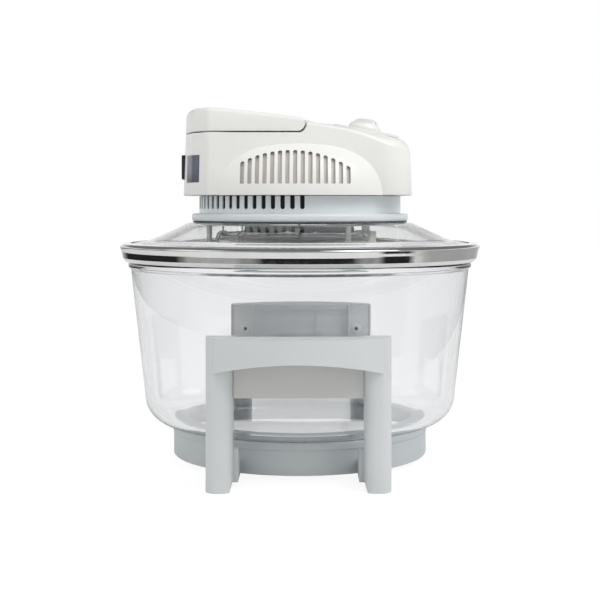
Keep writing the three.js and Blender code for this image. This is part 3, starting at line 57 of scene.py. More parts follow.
# Fineness of round forms
ROUND_STEPS = 144
MEDIUM_STEPS = 64
SMALL_STEPS = 32
WIRE_STEPS = 14
FILLET_STEPS = 5
DOME_STEPS = 8
EDGE_STEPS = 7
BEVEL_STEPS = 3
THIN_BEVEL_STEPS = 2
ROOF_RINGS = 22
PLAN_SPACING = 3.0
OVERRUN = 2.0  # how far a cut runs past the face that it opens
GAP = 0.3
TINY = 1e-4
BEVEL_DEGREES = 35
SHARP_DEGREES = 32
WIRE_SHARP_DEGREES = 50
GLASS_SHARP_DEGREES = 60

# Base ring and its foot arms
RING_RADIUS = 119.6
RING_BOTTOM = 4.0
RING_WALL = 3.2
RING_SEAT_RADIUS = 107.0
RING_SEAT_THICKNESS = 3.0
RING_EDGE = 0.5
RING_BEAD_LOW = 25.4
RING_BEAD_HIGH = 31.4
RING_BEAD_REACH = 0.8
ARM_BOTTOM = 5.0
ARM_TOP = 33.0
ARM_ROOT_TOP = 17.0
ARM_KNEE_Y = 136.3
ARM_LOW_Y = 113.0
ARM_INNER_X = 50.6
ARM_END_Y = 158.3
ARM_EDGE = 0.8

# Stand handles
LEG_OUTER_X = 77.0
LEG_INNER_X = 54.4
LEG_FRONT_Y = 168.3
LEG_BACK_Y = 148.3
LEG_WALL = 3.0
LEG_ROUND = 10.0
LEG_ROUND_STEPS = 10
LEG_SLANT_WIDTH = 2.6
LEG_SLANT_HEIGHT = 9.0
LEG_FLOOR = 4.0
FOOT_SCREW_X = 64.9
FOOT_SCREW_Y = 153.8
FOOT_HOLE_RADIUS = 4.2
LEG_EDGE = 1.0
LEG_BEVEL_DEGREES = 40
BAR_TOP = 128.0
BAR_FRONT_Y = 190.0
BAR_MEETS_LEG_X = 70.3
BAR_BACK_Y = 158.9
BAR_END_BOTTOM = 98.6
BAR_MIDDLE_BOTTOM = 108.2
BAR_STEPS = 48
PLATE_THICKNESS = 2.4
PLATE_BOTTOM = 77.0
PLATE_EDGE = 0.6
PLATE_RIB_WIDTH = 2.4
PLATE_RIB_HEIGHT = 2.0
PLATE_RIB_X = 18.0
STAND_SCREW_X = 60.8
STAND_SCREW_Z = 103.5
STAND_SCREW_RADIUS = 5.0
STAND_SCREW_HEIGHT = 2.2
STAND_SCREW_ROUND = 1.6
CROSS_LENGTH = 5.2
CROSS_WIDTH = 1.3
CROSS_DEPTH = 1.6
RECESS_RADIUS = 1.9
RECESS_FLOOR = 0.4
PLATE_LIP_HEIGHT = 5.6
PLATE_LIP_WIDTH = 2.2
PLATE_LIP_RISE = 1.0

# Glass bowl
BOWL_RIM_Z = 184.2
BOWL_BEAD_RADIUS = 162.3
BOWL_BEAD_HEIGHT = 5.4
BOWL_TOP_RADIUS = 160.0
BOWL_LOW_RADIUS = 146.8
BOWL_CORNER = 27.0
BOWL_BOTTOM_Z = 33.0
BOWL_THICKNESS = 5.0
BOWL_CORNER_STEPS = 20
BEAD_ROUND = 2.2
BEAD_FOOT_DROP = 1.0
BEAD_FOOT_ROUND = 2.0
BEAD_FOOT_RISE = 0.4

# Glass lid
LID_HOLE_RADIUS = 90.6
LID_NECK_RADIUS = 106.4
LID_NECK_Z = 220.6
LID_FOOT_RADIUS = 142.0
LID_FOOT_Z = 204.0
LID_EDGE_RADIUS = 166.6
LID_EDGE_Z = 199.8
LID_THICKNESS = 4.5
LID_SKIRT_Z = 186.6
LID_SKIRT_THICKNESS = 5.5
LID_SKIRT_TAPER = 2.4
LID_BEND = 9.0
LID_BEND_INSET = 2.0
LID_ROUND = 2.0
LID_HOLE_ROUND = 1.5
LID_HOLE_EDGE = 0.6
LID_EDGE_EXTRA = 1.0

# Polished rim band
BAND_TIP_RADIUS = 170.6
BAND_TIP_Z = 199.0
BAND_WAIST_RADIUS = 168.6
BAND_WAIST_Z = 193.6
BAND_LOW_RADIUS = 167.6
BAND_LOW_Z = 188.0
BAND_FOOT_RADIUS = 164.6
BAND_THICKNESS = 0.9
BAND_TOP_INNER = 160.6
BAND_BOTTOM_INNER = 158.4
BAND_ROUND = 1.6
BAND_LIP_EDGE = 0.3
BAND_LIP_ROUND = 0.4
BAND_SHOULDER_WIDTH = 2.5
BAND_SHOULDER_RISE = 2.2
BAND_SHOULDER_ROUND = 2.5
BAND_WAIST_ROUND = 12.0
BAND_LOW_ROUND = 1.2
BAND_TIP_WALL = 1.08
BAND_INNER_ROUND = 0.5
BAND_INNER_FOOT_ROUND = 0.6
BAND_INNER_WAIST_ROUND = 2.0
BAND_INNER_SHOULDER_WIDTH = 3.0
BAND_INNER_SHOULDER_RISE = 1.2
BAND_INNER_SHOULDER_ROUND = 1.5

# Gasket, flange and slotted collar
GASKET_INNER = 90.6
GASKET_OUTER = 102.0
GASKET_Z = 220.9
GASKET_THICKNESS = 1.0
GASKET_EDGE = 0.4
FLANGE_BOTTOM_Z = 222.2
FLANGE_RADIUS = 102.8
FLANGE_TOP_Z = 229.2
FLANGE_INNER = 84.0
FLANGE_FLOOR = 3.0
FLANGE_EDGE = 2.2
FLANGE_INNER_EDGE = 0.5
COLLAR_RADIUS = 95.8
COLLAR_WALL = 1.3
COLLAR_TOP_Z = 245.6
COLLAR_TOP_EDGE = 0.6
COLLAR_FOOT_ROUND = 1.0
SLOT_WIDTH = 4.0
SLOT_BOTTOM_Z = 233.5
SLOT_PITCH = 5.24
SLOT_PAIRS = 18
SLOT_STEPS = 10
SCREEN_GAP = 0.1
SCREEN_THICKNESS = 1.0

# Head housing
HEAD_BOTTOM_Z = 246.0
HEAD_HALF = 74.0
HEAD_REAR_X = -110.4
HEAD_FRONT_X = 103.2
HEAD_CHAMFER_X = -98.0
HEAD_CHAMFER_Y = 60.0
HEAD_SIDE_X = -83.0
HEAD_CHAMFER_ROUND = 7.0
HEAD_FRONT_CORNER = 31.0
HEAD_FRONT_STEPS = 16
HEAD_BOW_STEPS = 24
HEAD_REAR_LEAN = 1.6
HEAD_FRONT_LEAN = 1.6
HEAD_LEAN_HEIGHT = 46.0
HEAD_LEAN_START = 60.0
HEAD_FLOOR = 3.0
HEAD_WALL = 2.6
HEAD_HOLE = 88.0
HEAD_FOOT_EDGE = 0.9
PARTING_Z = 302.4
PARTING_EDGE = 0.7
ROOF_CENTRE_X = 0.0
NOSE_X = [-20, 6.7, 32, 52, 75, 86, 95, 103.2]
NOSE_TOP = [313.3, 313.3, 311.6, 309.4, 304.6, 301.6, 298.6, 295.6]
NOSE_SHOULDER = [311.4, 311.4, 307.3, 302.9, 295.5, 292.4, 290.4, 288.6]
NOSE_EDGE_X = [0, 60, 90, 103]
NOSE_EDGE = [2.5, 2.5, 6.0, 10.0]
NOSE_CROWN_POWER = 4.0

# Louvre bulge
BULGE_CORE = 64.0
BULGE_REACH = 41.0
BULGE_HEIGHT = 48.0
BULGE_STEPS = 28
BULGE_INNER_Y = 71.0
LINER_INSET = 2.9
LINER_THICKNESS = 1.2
LOUVRE_COUNT = 15
LOUVRE_PITCH = 6.72
LOUVRE_WIDTH = 3.7
LOUVRE_FIRST_X = -50.6
LOUVRE_BOTTOM_Z = 256.0
LOUVRE_PEAK_Z = 286.0
LOUVRE_ARCH_RADIUS = 98.0
LOUVRE_ARCH_X = -7.5
LOUVRE_FOOT_ROUND = 0.6
LOUVRE_TOP_ROUND_SHARE = 0.42

# Carry handle
PIVOT_X = -2.0
PIVOT_Z = 310.6
HANDLE_END_RADIUS = 6.9
HANDLE_GROOVE = 1.8
HANDLE_ARM_WIDTH = 16.0
HANDLE_BAR_INNER_X = -88.0
HANDLE_X = [-114, -104, -82, -57, 0, 20]
HANDLE_TOP = [321.3, 324.8, 326.0, 324.1, 317.6, 316.0]
HANDLE_EDGE = 4.2
HANDLE_CROWN = 1.0
HANDLE_BOTTOM_Z = 303.7
ISLAND_REAR_X = -70.0
ISLAND_FRONT_X = 14.0
ISLAND_GAP = 0.8
ISLAND_X = [-70, -57, -20, 0, 14]
ISLAND_TOP = [323.2, 322.4, 318.4, 315.4, 312.8]
ISLAND_EDGE = 3.0
ISLAND_CORNER = 7.0

# Control panel and knobs
PANEL_REAR_X = 31.0
PANEL_FRONT_X = 91.0
PANEL_REAR_Z = 310.6
PANEL_FRONT_Z = 299.4
PANEL_HALF = 55.0
PANEL_THICKNESS = 1.2
PANEL_FLOOR = 2.2
PANEL_CORNER = 9.0
PANEL_EDGE = 0.4
PANEL_SINK = 1.2
PANEL_GAP = 0.1
KNOB_ALONG = 29.5
KNOB_ACROSS = 28.0
KNOB_RADIUS = 15.4
KNOB_SKIRT = 2.2
KNOB_LIFT = 1.8
KNOB_FOOT_EDGE = 0.4
KNOB_SKIRT_EDGE = 0.8
KNOB_DOME = [(14.0, 4.0, 1.5), (12.0, 8.6, 4.0), (6.5, 10.4, 6.0), (0, 10.6, 0)]  # radius, height, rounding
GRIP_WIDTH = 6.4
GRIP_FOOT = 5.6
GRIP_EDGE = 1.2
GRIP_BEVEL_STEPS = 4
GRIP_BEVEL_DEGREES = 50
POINTER_WIDTH = 1.3
POINTER_START = 6.5
POINTER_END = 13.2
POINTER_DEPTH = 0.5
TICK_COUNT = 31
TICK_LONG_EVERY = 5
TICK_RADIUS = 18.4
TICK_SHORT = 1.2
TICK_LONG = 2.2
TICK_WIDTH = 0.35
PRINT_RISE = 0.06
NUMBER_RADIUS = 23.4
NUMBER_SIZE = 3.4
NUMBER_STEPS = 3
DIAL_SWEEPS = {"timer": 300.0, "thermostat": 270.0}
TIMER_NUMBERS = ["0", "10", "20", "30", "40", "50", "60"]
HEAT_NUMBERS = ["0", "65", "100", "135", "175", "210", "250"]
LENS_ALONG = 53.0
LENS_ACROSS = 10.0
LENS_RADIUS = 2.6
LENS_HEIGHT = 1.6
LENS_FOOT_EDGE = 0.2
LENS_ROUND = 1.4

# Mains inlet and the bare plate on the rear corner
INLET_FACE_X = -110.8
INLET_Z = 272.5
INLET_FLANGE_WIDTH = 48.0
INLET_FLANGE_HEIGHT = 23.0
INLET_FLANGE = 3.6
INLET_BODY_WIDTH = 29.0
INLET_BODY_HEIGHT = 19.0
INLET_BODY_DEPTH = 24.0
INLET_SOCKET_WIDTH = 24.4
INLET_SOCKET_HEIGHT = 15.6
INLET_SOCKET_DEPTH = 18.0
SOCKET_TOP_SHARE = 0.7
INLET_EDGE = 0.7
BADGE_LOW_Z = 257.6
BADGE_HIGH_Z = 282.4
BADGE_NEAR_Y = 41.0
BADGE_FAR_Y = 67.0
BADGE_THICKNESS = 0.35

# Fans, heat plate, lamp and guard
FAN_RADIUS = 54.0
FAN_HUB_RADIUS = 17.0
FAN_TOP_Z = 219.4
FAN_LOW_Z = 207.6
FAN_SHEET = 0.9
FAN_BLADES = 8
FAN_PITCH = 58.0
FAN_START = 8.0
FAN_SWEEP = 8.0
FAN_ROOT_SHARE = 0.55  # how much of its height a blade has at its root
FAN_RISE_SHARE = 1 / 3  # how much of its length a blade needs to reach its height
FAN_BLADE_STEPS = 8
FAN_DISC_Z = 212.0
FAN_DISC = 2.0
FAN_DISC_EDGE = 0.6
FAN_HOLE = 4.0
FAN_HOLE_EDGE = 0.3
HEAT_PLATE_RADIUS = 90.0
HEAT_PLATE_THICKNESS = 1.0
HEAT_PLATE_HOLE = 7.0
HEAT_PLATE_EDGE = 0.3
HEAT_PLATE_HOLE_EDGE = 0.2
HEAT_PLATE_PRESS = 0.35
PRESS_INNER = 28.0
PRESS_OUTER = 63.0
PRESS_SLOPE = 3.0
PRESS_ROUND = 1.0
LAMP_RADIUS = 73.5
LAMP_TUBE = 5.2
LAMP_Z = 204.2
LAMP_GAP = 36.0
LAMP_STEPS = 120
LAMP_SIDES = 24
FILAMENT_WIRE = 0.3
FILAMENT_COIL = 1.1
FILAMENT_TURNS = 150
FILAMENT_TURN_STEPS = 8
FILAMENT_SIDES = 5
FILAMENT_INSET = 3.0
CAP_LENGTH = 11.0
CAP_SIZE = 13.0
CAP_EDGE = 1.2
CAP_SPARE_DEGREES = 0.3
CLIP_RADIUS = 1.8
CLIP_WIRE = 0.72
CLIP_STEPS = 24
CLIP_DEGREES = {"left": 135, "rear": 180, "right": 225}
POST_RADIUS = 2.7
POST_RING = 86.6
POST_FOOT_SHARE = 1.5
ROD_EDGE = 0.3
POST_DEGREES = {"left": 60, "rear": 180, "right": 300}
GUARD_Z = 196.6
GUARD_WIRE = 1.3
GUARD_RINGS = [10, 30, 58, 86.6]
GUARD_SPOKES = 6
GUARD_HUB = 10.0
SPOKE_EDGE = 0.4
PROBE_RADIUS = 2.6
PROBE_ROUND_SHARE = 0.9
PROBE_LENGTH = 38.0
PROBE_X = 62.0
PROBE_Z = 214.5

# Marks in surfaces

# A cloud is its size, its fineness and the share of colour in its darkest places. A gloss is its size, its
# fineness and the roughness from and to. A grain is its size, its fineness and its depth.
NOISE_LOW_SHARE = 0.3
NOISE_HIGH_SHARE = 0.7
PLASTIC_CLOUD = (45, 4, 0.965)
PLASTIC_RUBS = (14, 5)
PLASTIC_RUB_REACH = 0.05
PLASTIC_GRAIN = (0.55, 2)
PLASTIC_WAVES = (30, 2, 0.06)
PLASTIC_COAT = 0.08
PLASTIC_COAT_ROUGHNESS = 0.3
GLASS_IOR = 1.5
GLASS_GLOSS = (60, 3, 0.0, 0.012)
GLASS_RIPPLES = (26, 1)
GLASS_DEPTH_COLOUR = (0.70, 0.72, 0.735)
GLASS_SHADOW = (0.98, 0.985, 0.99)
METAL_CLOUD = (20, 4, 0.9)
METAL_SMUDGES = 6  # fineness
METAL_GRAIN = (0.8, 3)
SPUN_CLOUD = (35, 4, 0.85)
SPUN_GLOSS = (9, 6, 0.16, 0.34)
SPUN_RINGS = {"Scale": 500, "Distortion": 1.5, "Detail": 3}
SPUN_DEPTH = 0.02
STAIN_NOISE = (16, 6)
STAIN_STARTS_SHARE = 0.38
STAIN_ENDS_SHARE = 0.62
STAIN_METALLIC = 0.85
STAIN_GLOSS = (5, 5, 0.3, 0.55)
STAIN_GRAIN = (0.6, 3, 0.02)
CERAMIC_CLOUD = (6, 6, 0.86)
CERAMIC_GLOSS = (3, 4, 0.6, 0.8)
CERAMIC_GRAIN = (0.4, 4, 0.06)
LENS_CLOUD = (3, 2, 0.8)
LENS_GLOSS = (2, 3, 0.08, 0.16)
LENS_GRAIN = (1.2, 1, 0.03)
LENS_CLEARNESS = 0.25
FLOOR_GLOSS = (60, 3, 0.65, 0.75)
WHITE = (1, 1, 1, 1)

# Camera, in metres and in lens millimetres
CAMERA_PLACE = (0.009, -1.187, 0.237)
CAMERA_LENS = 74.5
CAMERA_SENSOR = 36.0
CAMERA_SHIFT_X = -0.0157
CAMERA_SHIFT_Y = -0.158

# Floor and light: places and sizes in metres, powers in watts
FLOOR_REACH = 60.0
FLOOR_COLOUR = 0.82
FLOOR_SEEN = 0.75  # how much of the floor is lit evenly for the camera
FLOOR_GLOW = 1.16
WORLD_LIGHT = 0.74
MIRRORED_LIGHT = 0.95
SKY_STOPS = [(0.10, (1.0, 1.0, 1.0)), (0.32, (0.2, 0.2, 0.205))]  # by the sine of the height
KEY_PLACE = (1.4, -1.15, 2.2)
KEY_SIZE = 1.6
KEY_POWER = 34.0
FILL_PLACE = (-1.8, -0.6, 1.2)
FILL_SIZE = 1.4
FILL_POWER = 5.0
AIM = Vector((0, 0, 0.18))
CARD_LIFT = 0.002
CARD_STEPS = 12
CARD_FADE = 0.2
BLACK_CARD = 0.02
GREY_CARD = 0.42
# From and to round the band, the tilts of its wall between which it mirrors the card, and the shade
CARDS = {
    "left_link_card": (-37, -12, 14.0, 5.0, GREY_CARD),
    "right_link_card": (18, 38, 15.0, 5.0, GREY_CARD),
    "right_end_card": (33, 84, 22.0, 4.0, GREY_CARD),
    "left_card": (-82, -31, 16.0, 5.0, BLACK_CARD),
    "middle_card": (-20, 25, 14.0, 5.0, BLACK_CARD),
    "right_card": (24, 38, 19.0, 9.0, BLACK_CARD),
}


# Making meshes

def in_scene(name, data):
    """An object of a mesh, a lamp or a camera, linked into the scene."""
    obj = bpy.data.objects.new(name, data)
    bpy.context.scene.collection.objects.link(obj)
    return obj


def sheet(name, points, faces):
    mesh = bpy.data.meshes.new(name)
    mesh.from_pydata([tuple(p) for p in points], [], faces)
    return in_scene(name, mesh)


def form(points, faces):
    """A mesh object, in millimetres, with its faces turned outwards."""
    obj = sheet("form", points, faces)
    tidy_mesh(obj)
    return obj


def tidy_mesh(obj):
    made = bmesh.new()
    made.from_mesh(obj.data)
    bmesh.ops.remove_doubles(made, verts=made.verts, dist=TINY)
    bmesh.ops.dissolve_degenerate(made, edges=made.edges, dist=TINY)
    bmesh.ops.recalc_face_normals(made, faces=made.faces)
    made.to_mesh(obj.data)
    made.free()


def settle(obj):
    """Applies the object's modifiers."""
    bpy.context.view_layer.update()
    graph = bpy.context.evaluated_depsgraph_get()
    mesh = bpy.data.meshes.new_from_object(obj.evaluated_get(graph))
    old = obj.data
    obj.modifiers.clear()
    obj.data = mesh
    bpy.data.meshes.remove(old)
    return obj


def remove(obj):
    mesh = obj.data
    bpy.data.objects.remove(obj)
    bpy.data.meshes.remove(mesh)


def copied(obj):
    twin = obj.copy()
    twin.data = obj.data.copy()
    bpy.context.scene.collection.objects.link(twin)
    return twin


def moved(obj, matrix):
    obj.data.transform(matrix)
    if matrix.determinant() < 0:
        obj.data.flip_normals()
    return obj


def turned(obj, degrees):
    return moved(obj, Matrix.Rotation(math.radians(degrees), 4, "Z"))


def mirrored(obj):
    """A mirror image of an object, front to rear."""
    return moved(copied(obj), Matrix.Scale(-1, 4, (1, 0, 0)))


def gathered(parts):
    """One object of several that don't touch."""
    whole = bmesh.new()
    for part in parts:
        whole.from_mesh(part.data)
    mesh = bpy.data.meshes.new("gathered")
    whole.to_mesh(mesh)
    whole.free()
    for part in parts:
        remove(part)
    return in_scene("gathered", mesh)


def boolean(base, operation, tools):
    for tool in tools:
        step = base.modifiers.new("step", "BOOLEAN")
        step.solver = "MANIFOLD"
        step.operation = operation
        step.object = tool
        settle(base)
        remove(tool)
    return base


def joined(base, *tools):
    return boolean(base, "UNION", tools)


def cut(base, *tools):
    return boolean(base, "DIFFERENCE", tools)


def common(base, *tools):
    return boolean(base, "INTERSECT", tools)


def bevelled(obj, width, segments=BEVEL_STEPS, degrees=BEVEL_DEGREES):
    """Rounds every edge that is sharper than an angle."""
    tidy_mesh(obj)
    step = obj.modifiers.new("edges", "BEVEL")
    step.width = width
    step.segments = segments
    step.limit_method = "ANGLE"
    step.angle_limit = math.radians(degrees)
    return settle(obj)


# Outlines

def arc(centre, radius, start, end, steps):
    points = []
    for i in range(steps + 1):
        angle = math.radians(start + (end - start) * i / steps)
        points.append((centre[0] + radius * math.cos(angle), centre[1] + radius * math.sin(angle)))
    return points


def filleted(corners, steps=FILLET_STEPS):
    """A closed outline from corners of (across, up, radius), with an arc at each corner."""
    points = []
    count = len(corners)
    for i, (x, z, radius) in enumerate(corners):
        here = Vector((x, z))
        before = Vector(corners[i - 1][:2]) - here
        after = Vector(corners[(i + 1) % count][:2]) - here
        half = before.angle(after) / 2
        if radius <= 0 or half > math.pi / 2 - TINY:
            points.append((x, z))
            continue
        reach = min(radius / math.tan(half), before.length / 2, after.length / 2)
        fitted = reach * math.tan(half)
        start = here + before.normalized() * reach
        end = here + after.normalized() * reach
        centre = here + (before.normalized() + after.normalized()).normalized() * fitted / math.sin(half)
        first = math.atan2(*(start - centre).yx)
        sweep = math.atan2(*(end - centre).yx) - first
        sweep = (sweep + math.pi) % (2 * math.pi) - math.pi
        for k in range(steps + 1):
            angle = first + sweep * k / steps
            points.append((centre.x + fitted * math.cos(angle), centre.y + fitted * math.sin(angle)))
    return points


def rectangle(low, high, radius=0.0):
    return filleted([
        (low[0], low[1], radius),
        (high[0], low[1], radius),
        (high[0], high[1], radius),
        (low[0], high[1], radius),
    ])


def divided(outline, longest):
    """The outline with its long edges split evenly."""
    points = []
    for i, start in enumerate(outline):
        end = outline[(i + 1) % len(outline)]
        length = math.dist(start, end)
        pieces = max(1, math.ceil(length / longest))
        for k in range(pieces):
            share = k / pieces
            points.append(tuple(low + (high - low) * share for low, high in zip(start, end)))
    return points


def smooth_line(stations, values, x):
    """The value at x on a smooth curve through paired stations and values."""
    last = len(stations) - 1
    if x <= stations[0]:
        return values[0]
    if x >= stations[last]:
        return values[last]
    i = max(k for k in range(last) if stations[k] <= x)
    slopes = []
    for k in (i, i + 1):
        low = max(k - 1, 0)
        high = min(k + 1, last)
        slopes.append((values[high] - values[low]) / (stations[high] - stations[low]))
    width = stations[i + 1] - stations[i]
    t = (x - stations[i]) / width
    return (
        (2 * t**3 - 3 * t**2 + 1) * values[i]
        + (t**3 - 2 * t**2 + t) * width * slopes[0]
        + (-2 * t**3 + 3 * t**2) * values[i + 1]
        + (t**3 - t**2) * width * slopes[1]
    )


def polar(radius, degrees, z=0.0):
    angle = math.radians(degrees)
    return (radius * math.cos(angle), radius * math.sin(angle), z)


# Solid forms

def skin(rings, closed=False):
    """A skin through equal rings of points, capped at both ends or closed on itself."""
    count = len(rings[0])
    points = [p for ring in rings for p in ring]
    faces = []
    links = len(rings) if closed else len(rings) - 1
    for r in range(links):
        base, top = r * count, ((r + 1) % len(rings)) * count
        for i in range(count):
            j = (i + 1) % count
            faces.append((base + i, base + j, top + j, top + i))
    if not closed:
        faces.append(tuple(range(count)))
        faces.append(tuple(range(len(points) - count, len(points))))
    return form(points, faces)


def revolved(outline, steps=ROUND_STEPS):
    """A body of revolution about Z from a closed outline of (radius, z) points."""
    points = []
    rings = []
    for radius, z in outline:
        if radius < TINY:
            rings.append([len(points)] * steps)
            points.append((0, 0, z))
            continue
        rings.append(list(range(len(points), len(points) + steps)))
        points.extend(polar(radius, 360 * i / steps, z) for i in range(steps))
    faces = []
    for k, ring in enumerate(rings):
        after = rings[(k + 1) % len(rings)]
        for i in range(steps):
            j = (i + 1) % steps
            corners = list(dict.fromkeys([ring[i], ring[j], after[j], after[i]]))
            if len(corners) > 2:
                faces.append(corners)
    return form(points, faces)


def upright(outline, low, high):
    return skin([[(x, y, z) for x, y in outline] for z in (low, high)])


def crosswise(outline, low, high):
    return skin([[(x, y, z) for x, z in outline] for y in (low, high)])


def lengthwise(outline, low, high):
    return skin([[(x, y, z) for y, z in outline] for x in (low, high)])


def block(low, high):
    return upright(rectangle(low[:2], high[:2]), low[2], high[2])


def rod(radius, start, end, steps=SMALL_STEPS, edge=0.0):
    """A round rod between two points, with rounded ends of a small radius."""
    start, end = Vector(start), Vector(end)
    length = (end - start).length
    outline = filleted([(0, 0, 0), (radius, 0, edge), (radius, length, edge), (0, length, 0)])
    made = revolved(outline, steps)
    turn = Vector((0, 0, 1)).rotation_difference(end - start).to_matrix().to_4x4()
    return moved(made, Matrix.Translation(start) @ turn)


def tube(path, radius, sides=WIRE_STEPS, closed=False):
    """A round wire along a path."""
    path = [Vector(p) for p in path]
    count = len(path)
    rings = []
    side = None
    for i, here in enumerate(path):
        before = path[i - 1] if closed or i else here
        after = path[(i + 1) % count] if closed or i < count - 1 else here
        along = (after - before).normalized()
        if side is None:
            side = along.orthogonal().normalized()
            if closed:
                side = (here - sum(path, Vector()) / count).normalized()
        side = (side - along * side.dot(along)).normalized()
        up = along.cross(side)
        ring = []
        for k in range(sides):
            angle = 2 * math.pi * k / sides
            ring.append(here + radius * (side * math.cos(angle) + up * math.sin(angle)))
        rings.append(ring)
    return skin(rings, closed)


def ring_path(radius, z, steps, start=0.0, end=360.0):
    return [polar(radius, start + (end - start) * i / steps, z) for i in range(steps)]


def plan_normals(outline):
    normals = []
    count = len(outline)
    for i in range(count):
        before = Vector(outline[i - 1])
        after = Vector(outline[(i + 1) % count])
        along = (after - before).normalized()
        normals.append((along.y, -along.x))
    return normals


def crowned_body(outline, low, roof, edge, centre, low_edge=0.0):
    """A body over a plan, anticlockwise: rounded foot, upright sides, rounded upper edge, and a roof.

    roof gives a height for (x, y), and edge the rounding's radius for x.
    """
    normals = plan_normals(outline)

    def ring(inset, lift):
        points = []
        for (x, y), (nx, ny) in zip(outline, normals):
            radius = edge(x)
            px, py = x - nx * inset * radius, y - ny * inset * radius
            points.append((px, py, roof(px, py) - radius * (1 - lift)))
        return points

    rings = []
    for k in range(FILLET_STEPS + 1):
        angle = math.pi / 2 * k / FILLET_STEPS
        inset, rise = low_edge * (1 - math.sin(angle)), low_edge * (1 - math.cos(angle))
        rings.append([
            (x - nx * inset, y - ny * inset, low + rise)
            for (x, y), (nx, ny) in zip(outline, normals)
        ])
    for k in range(EDGE_STEPS + 1):
        angle = math.pi / 2 * k / EDGE_STEPS
        rings.append(ring(1 - math.cos(angle), math.sin(angle)))
    rim = rings[-1]
    for k in range(1, ROOF_RINGS):
        share = 1 - k / ROOF_RINGS
        points = []
        for x, y, _ in rim:
            px, py = centre + (x - centre) * share, y * share
            points.append((px, py, roof(px, py)))
        rings.append(points)
    return skin(rings)


# Materials

def material(name, metallic=0.0):
    made = bpy.data.materials.new(name)
    made.use_nodes = True
    base = made.node_tree.nodes["Principled BSDF"]
    base.inputs["Metallic"].default_value = metallic
    return made, made.node_tree, base


def node(tree, kind, inputs):
    """A new shader node, with its inputs set to values or linked to other nodes' sockets."""
    made = tree.nodes.new(kind)
    for key, value in inputs.items():
        if isinstance(value, bpy.types.NodeSocket):
            tree.links.new(value, made.inputs[key])
        else:
            made.inputs[key].default_value = value
    return made


def mixed(tree, share, first, second):
    """A mix of two nodes' shaders, by a share from another node's socket."""
    return node(tree, "ShaderNodeMixShader", {0: share, 1: first.outputs[0], 2: second.outputs[0]})


def shown(tree, shader):
    tree.links.new(shader.outputs[0], tree.nodes["Material Output"].inputs["Surface"])


def noise(tree, size, fineness):
    """Noise fixed to the object, with features of a size in millimetres."""
    place = node(tree, "ShaderNodeTexCoord", {})
    made = node(tree, "ShaderNodeTexNoise", {
        "Vector": place.outputs["Object"],
        "Scale": 1 / (size * MM),
        "Detail": fineness,
    })
    return made.outputs["Fac"]


def colours(tree, socket, stops, target):
    """Carries a 0 to 1 value to a colour socket through a ramp of (place, colour)."""
    ramp = node(tree, "ShaderNodeValToRGB", {"Fac": socket})
    points = ramp.color_ramp.elements
    while len(points) < len(stops):
        points.new(0.5)
    for point, (place, colour) in zip(points, stops):
        point.position = place
        point.color = (*colour, 1)
    tree.links.new(ramp.outputs["Color"], target)


def clouded(tree, base, colour, cloud):
    """A slightly uneven colour."""
    size, fineness, share = cloud
    dark = tuple(c * share for c in colour)
    stops = [(NOISE_LOW_SHARE, dark), (NOISE_HIGH_SHARE, colour)]
    colours(tree, noise(tree, size, fineness), stops, base.inputs["Base Color"])


def glossed(tree, base, gloss):
    """A slightly uneven roughness."""
    size, fineness, low, high = gloss
    made = node(tree, "ShaderNodeMapRange", {
        "Value": noise(tree, size, fineness),
        "From Min": NOISE_LOW_SHARE,
        "From Max": NOISE_HIGH_SHARE,
        "To Min": low,
        "To Max": high,
    })
    tree.links.new(made.outputs["Result"], base.inputs["Roughness"])


def bumped(tree, base, socket, depth):
    """Bumps of a depth in millimetres from a 0 to 1 height, on top of those that are there."""
    made = node(tree, "ShaderNodeBump", {"Strength": 1, "Distance": depth * MM, "Height": socket})
    before = base.inputs["Normal"].links
    if before:
        tree.links.new(before[0].from_socket, made.inputs["Normal"])
    tree.links.new(made.outputs["Normal"], base.inputs["Normal"])


def grained(tree, base, grain):
    size, fineness, depth = grain
    bumped(tree, base, noise(tree, size, fineness), depth)


def plastic(name, colour, roughness, grain_depth):
    """Moulded plastic: slightly clouded colour, fine spark-eroded grain, faint handling marks."""
    made, tree, base = material(name)
    clouded(tree, base, colour, PLASTIC_CLOUD)
    glossed(tree, base, (*PLASTIC_RUBS, roughness - PLASTIC_RUB_REACH, roughness + PLASTIC_RUB_REACH))
    grained(tree, base, (*PLASTIC_GRAIN, grain_depth))
    grained(tree, base, PLASTIC_WAVES)
    base.inputs["Coat Weight"].default_value = PLASTIC_COAT
    base.inputs["Coat Roughness"].default_value = PLASTIC_COAT_ROUGHNESS
    return made


def clear_glass(name, tint, density, ripple):
    """Pressed glass: faint tint, a slow ripple, and lamps shine through it."""
    made, tree, base = material(name)
    base.inputs["Base Color"].default_value = (*tint, 1)
    base.inputs["Transmission Weight"].default_value = 1
    base.inputs["IOR"].default_value = GLASS_IOR
    glossed(tree, base, GLASS_GLOSS)
    grained(tree, base, (*GLASS_RIPPLES, ripple))
    through = node(tree, "ShaderNodeBsdfTransparent", {"Color": (*GLASS_SHADOW, 1)})
    rays = node(tree, "ShaderNodeLightPath", {})
    shown(tree, mixed(tree, rays.outputs["Is Shadow Ray"], base, through))
    if density > 0:
        volume = node(tree, "ShaderNodeVolumeAbsorption", {
            "Color": (*GLASS_DEPTH_COLOUR, 1),
            "Density": density,
        })
        tree.links.new(volume.outputs[0], tree.nodes["Material Output"].inputs["Volume"])
    return made


def metal(name, colour, low, high, smudge_size, grain_depth):
    """Metal with a roughness from low to high in smudges, and a fine drawn or ground grain."""
    made, tree, base = material(name, 1)
    clouded(tree, base, colour, METAL_CLOUD)
    glossed(tree, base, (smudge_size, METAL_SMUDGES, low, high))
    grained(tree, base, (*METAL_GRAIN, grain_depth))
    return made


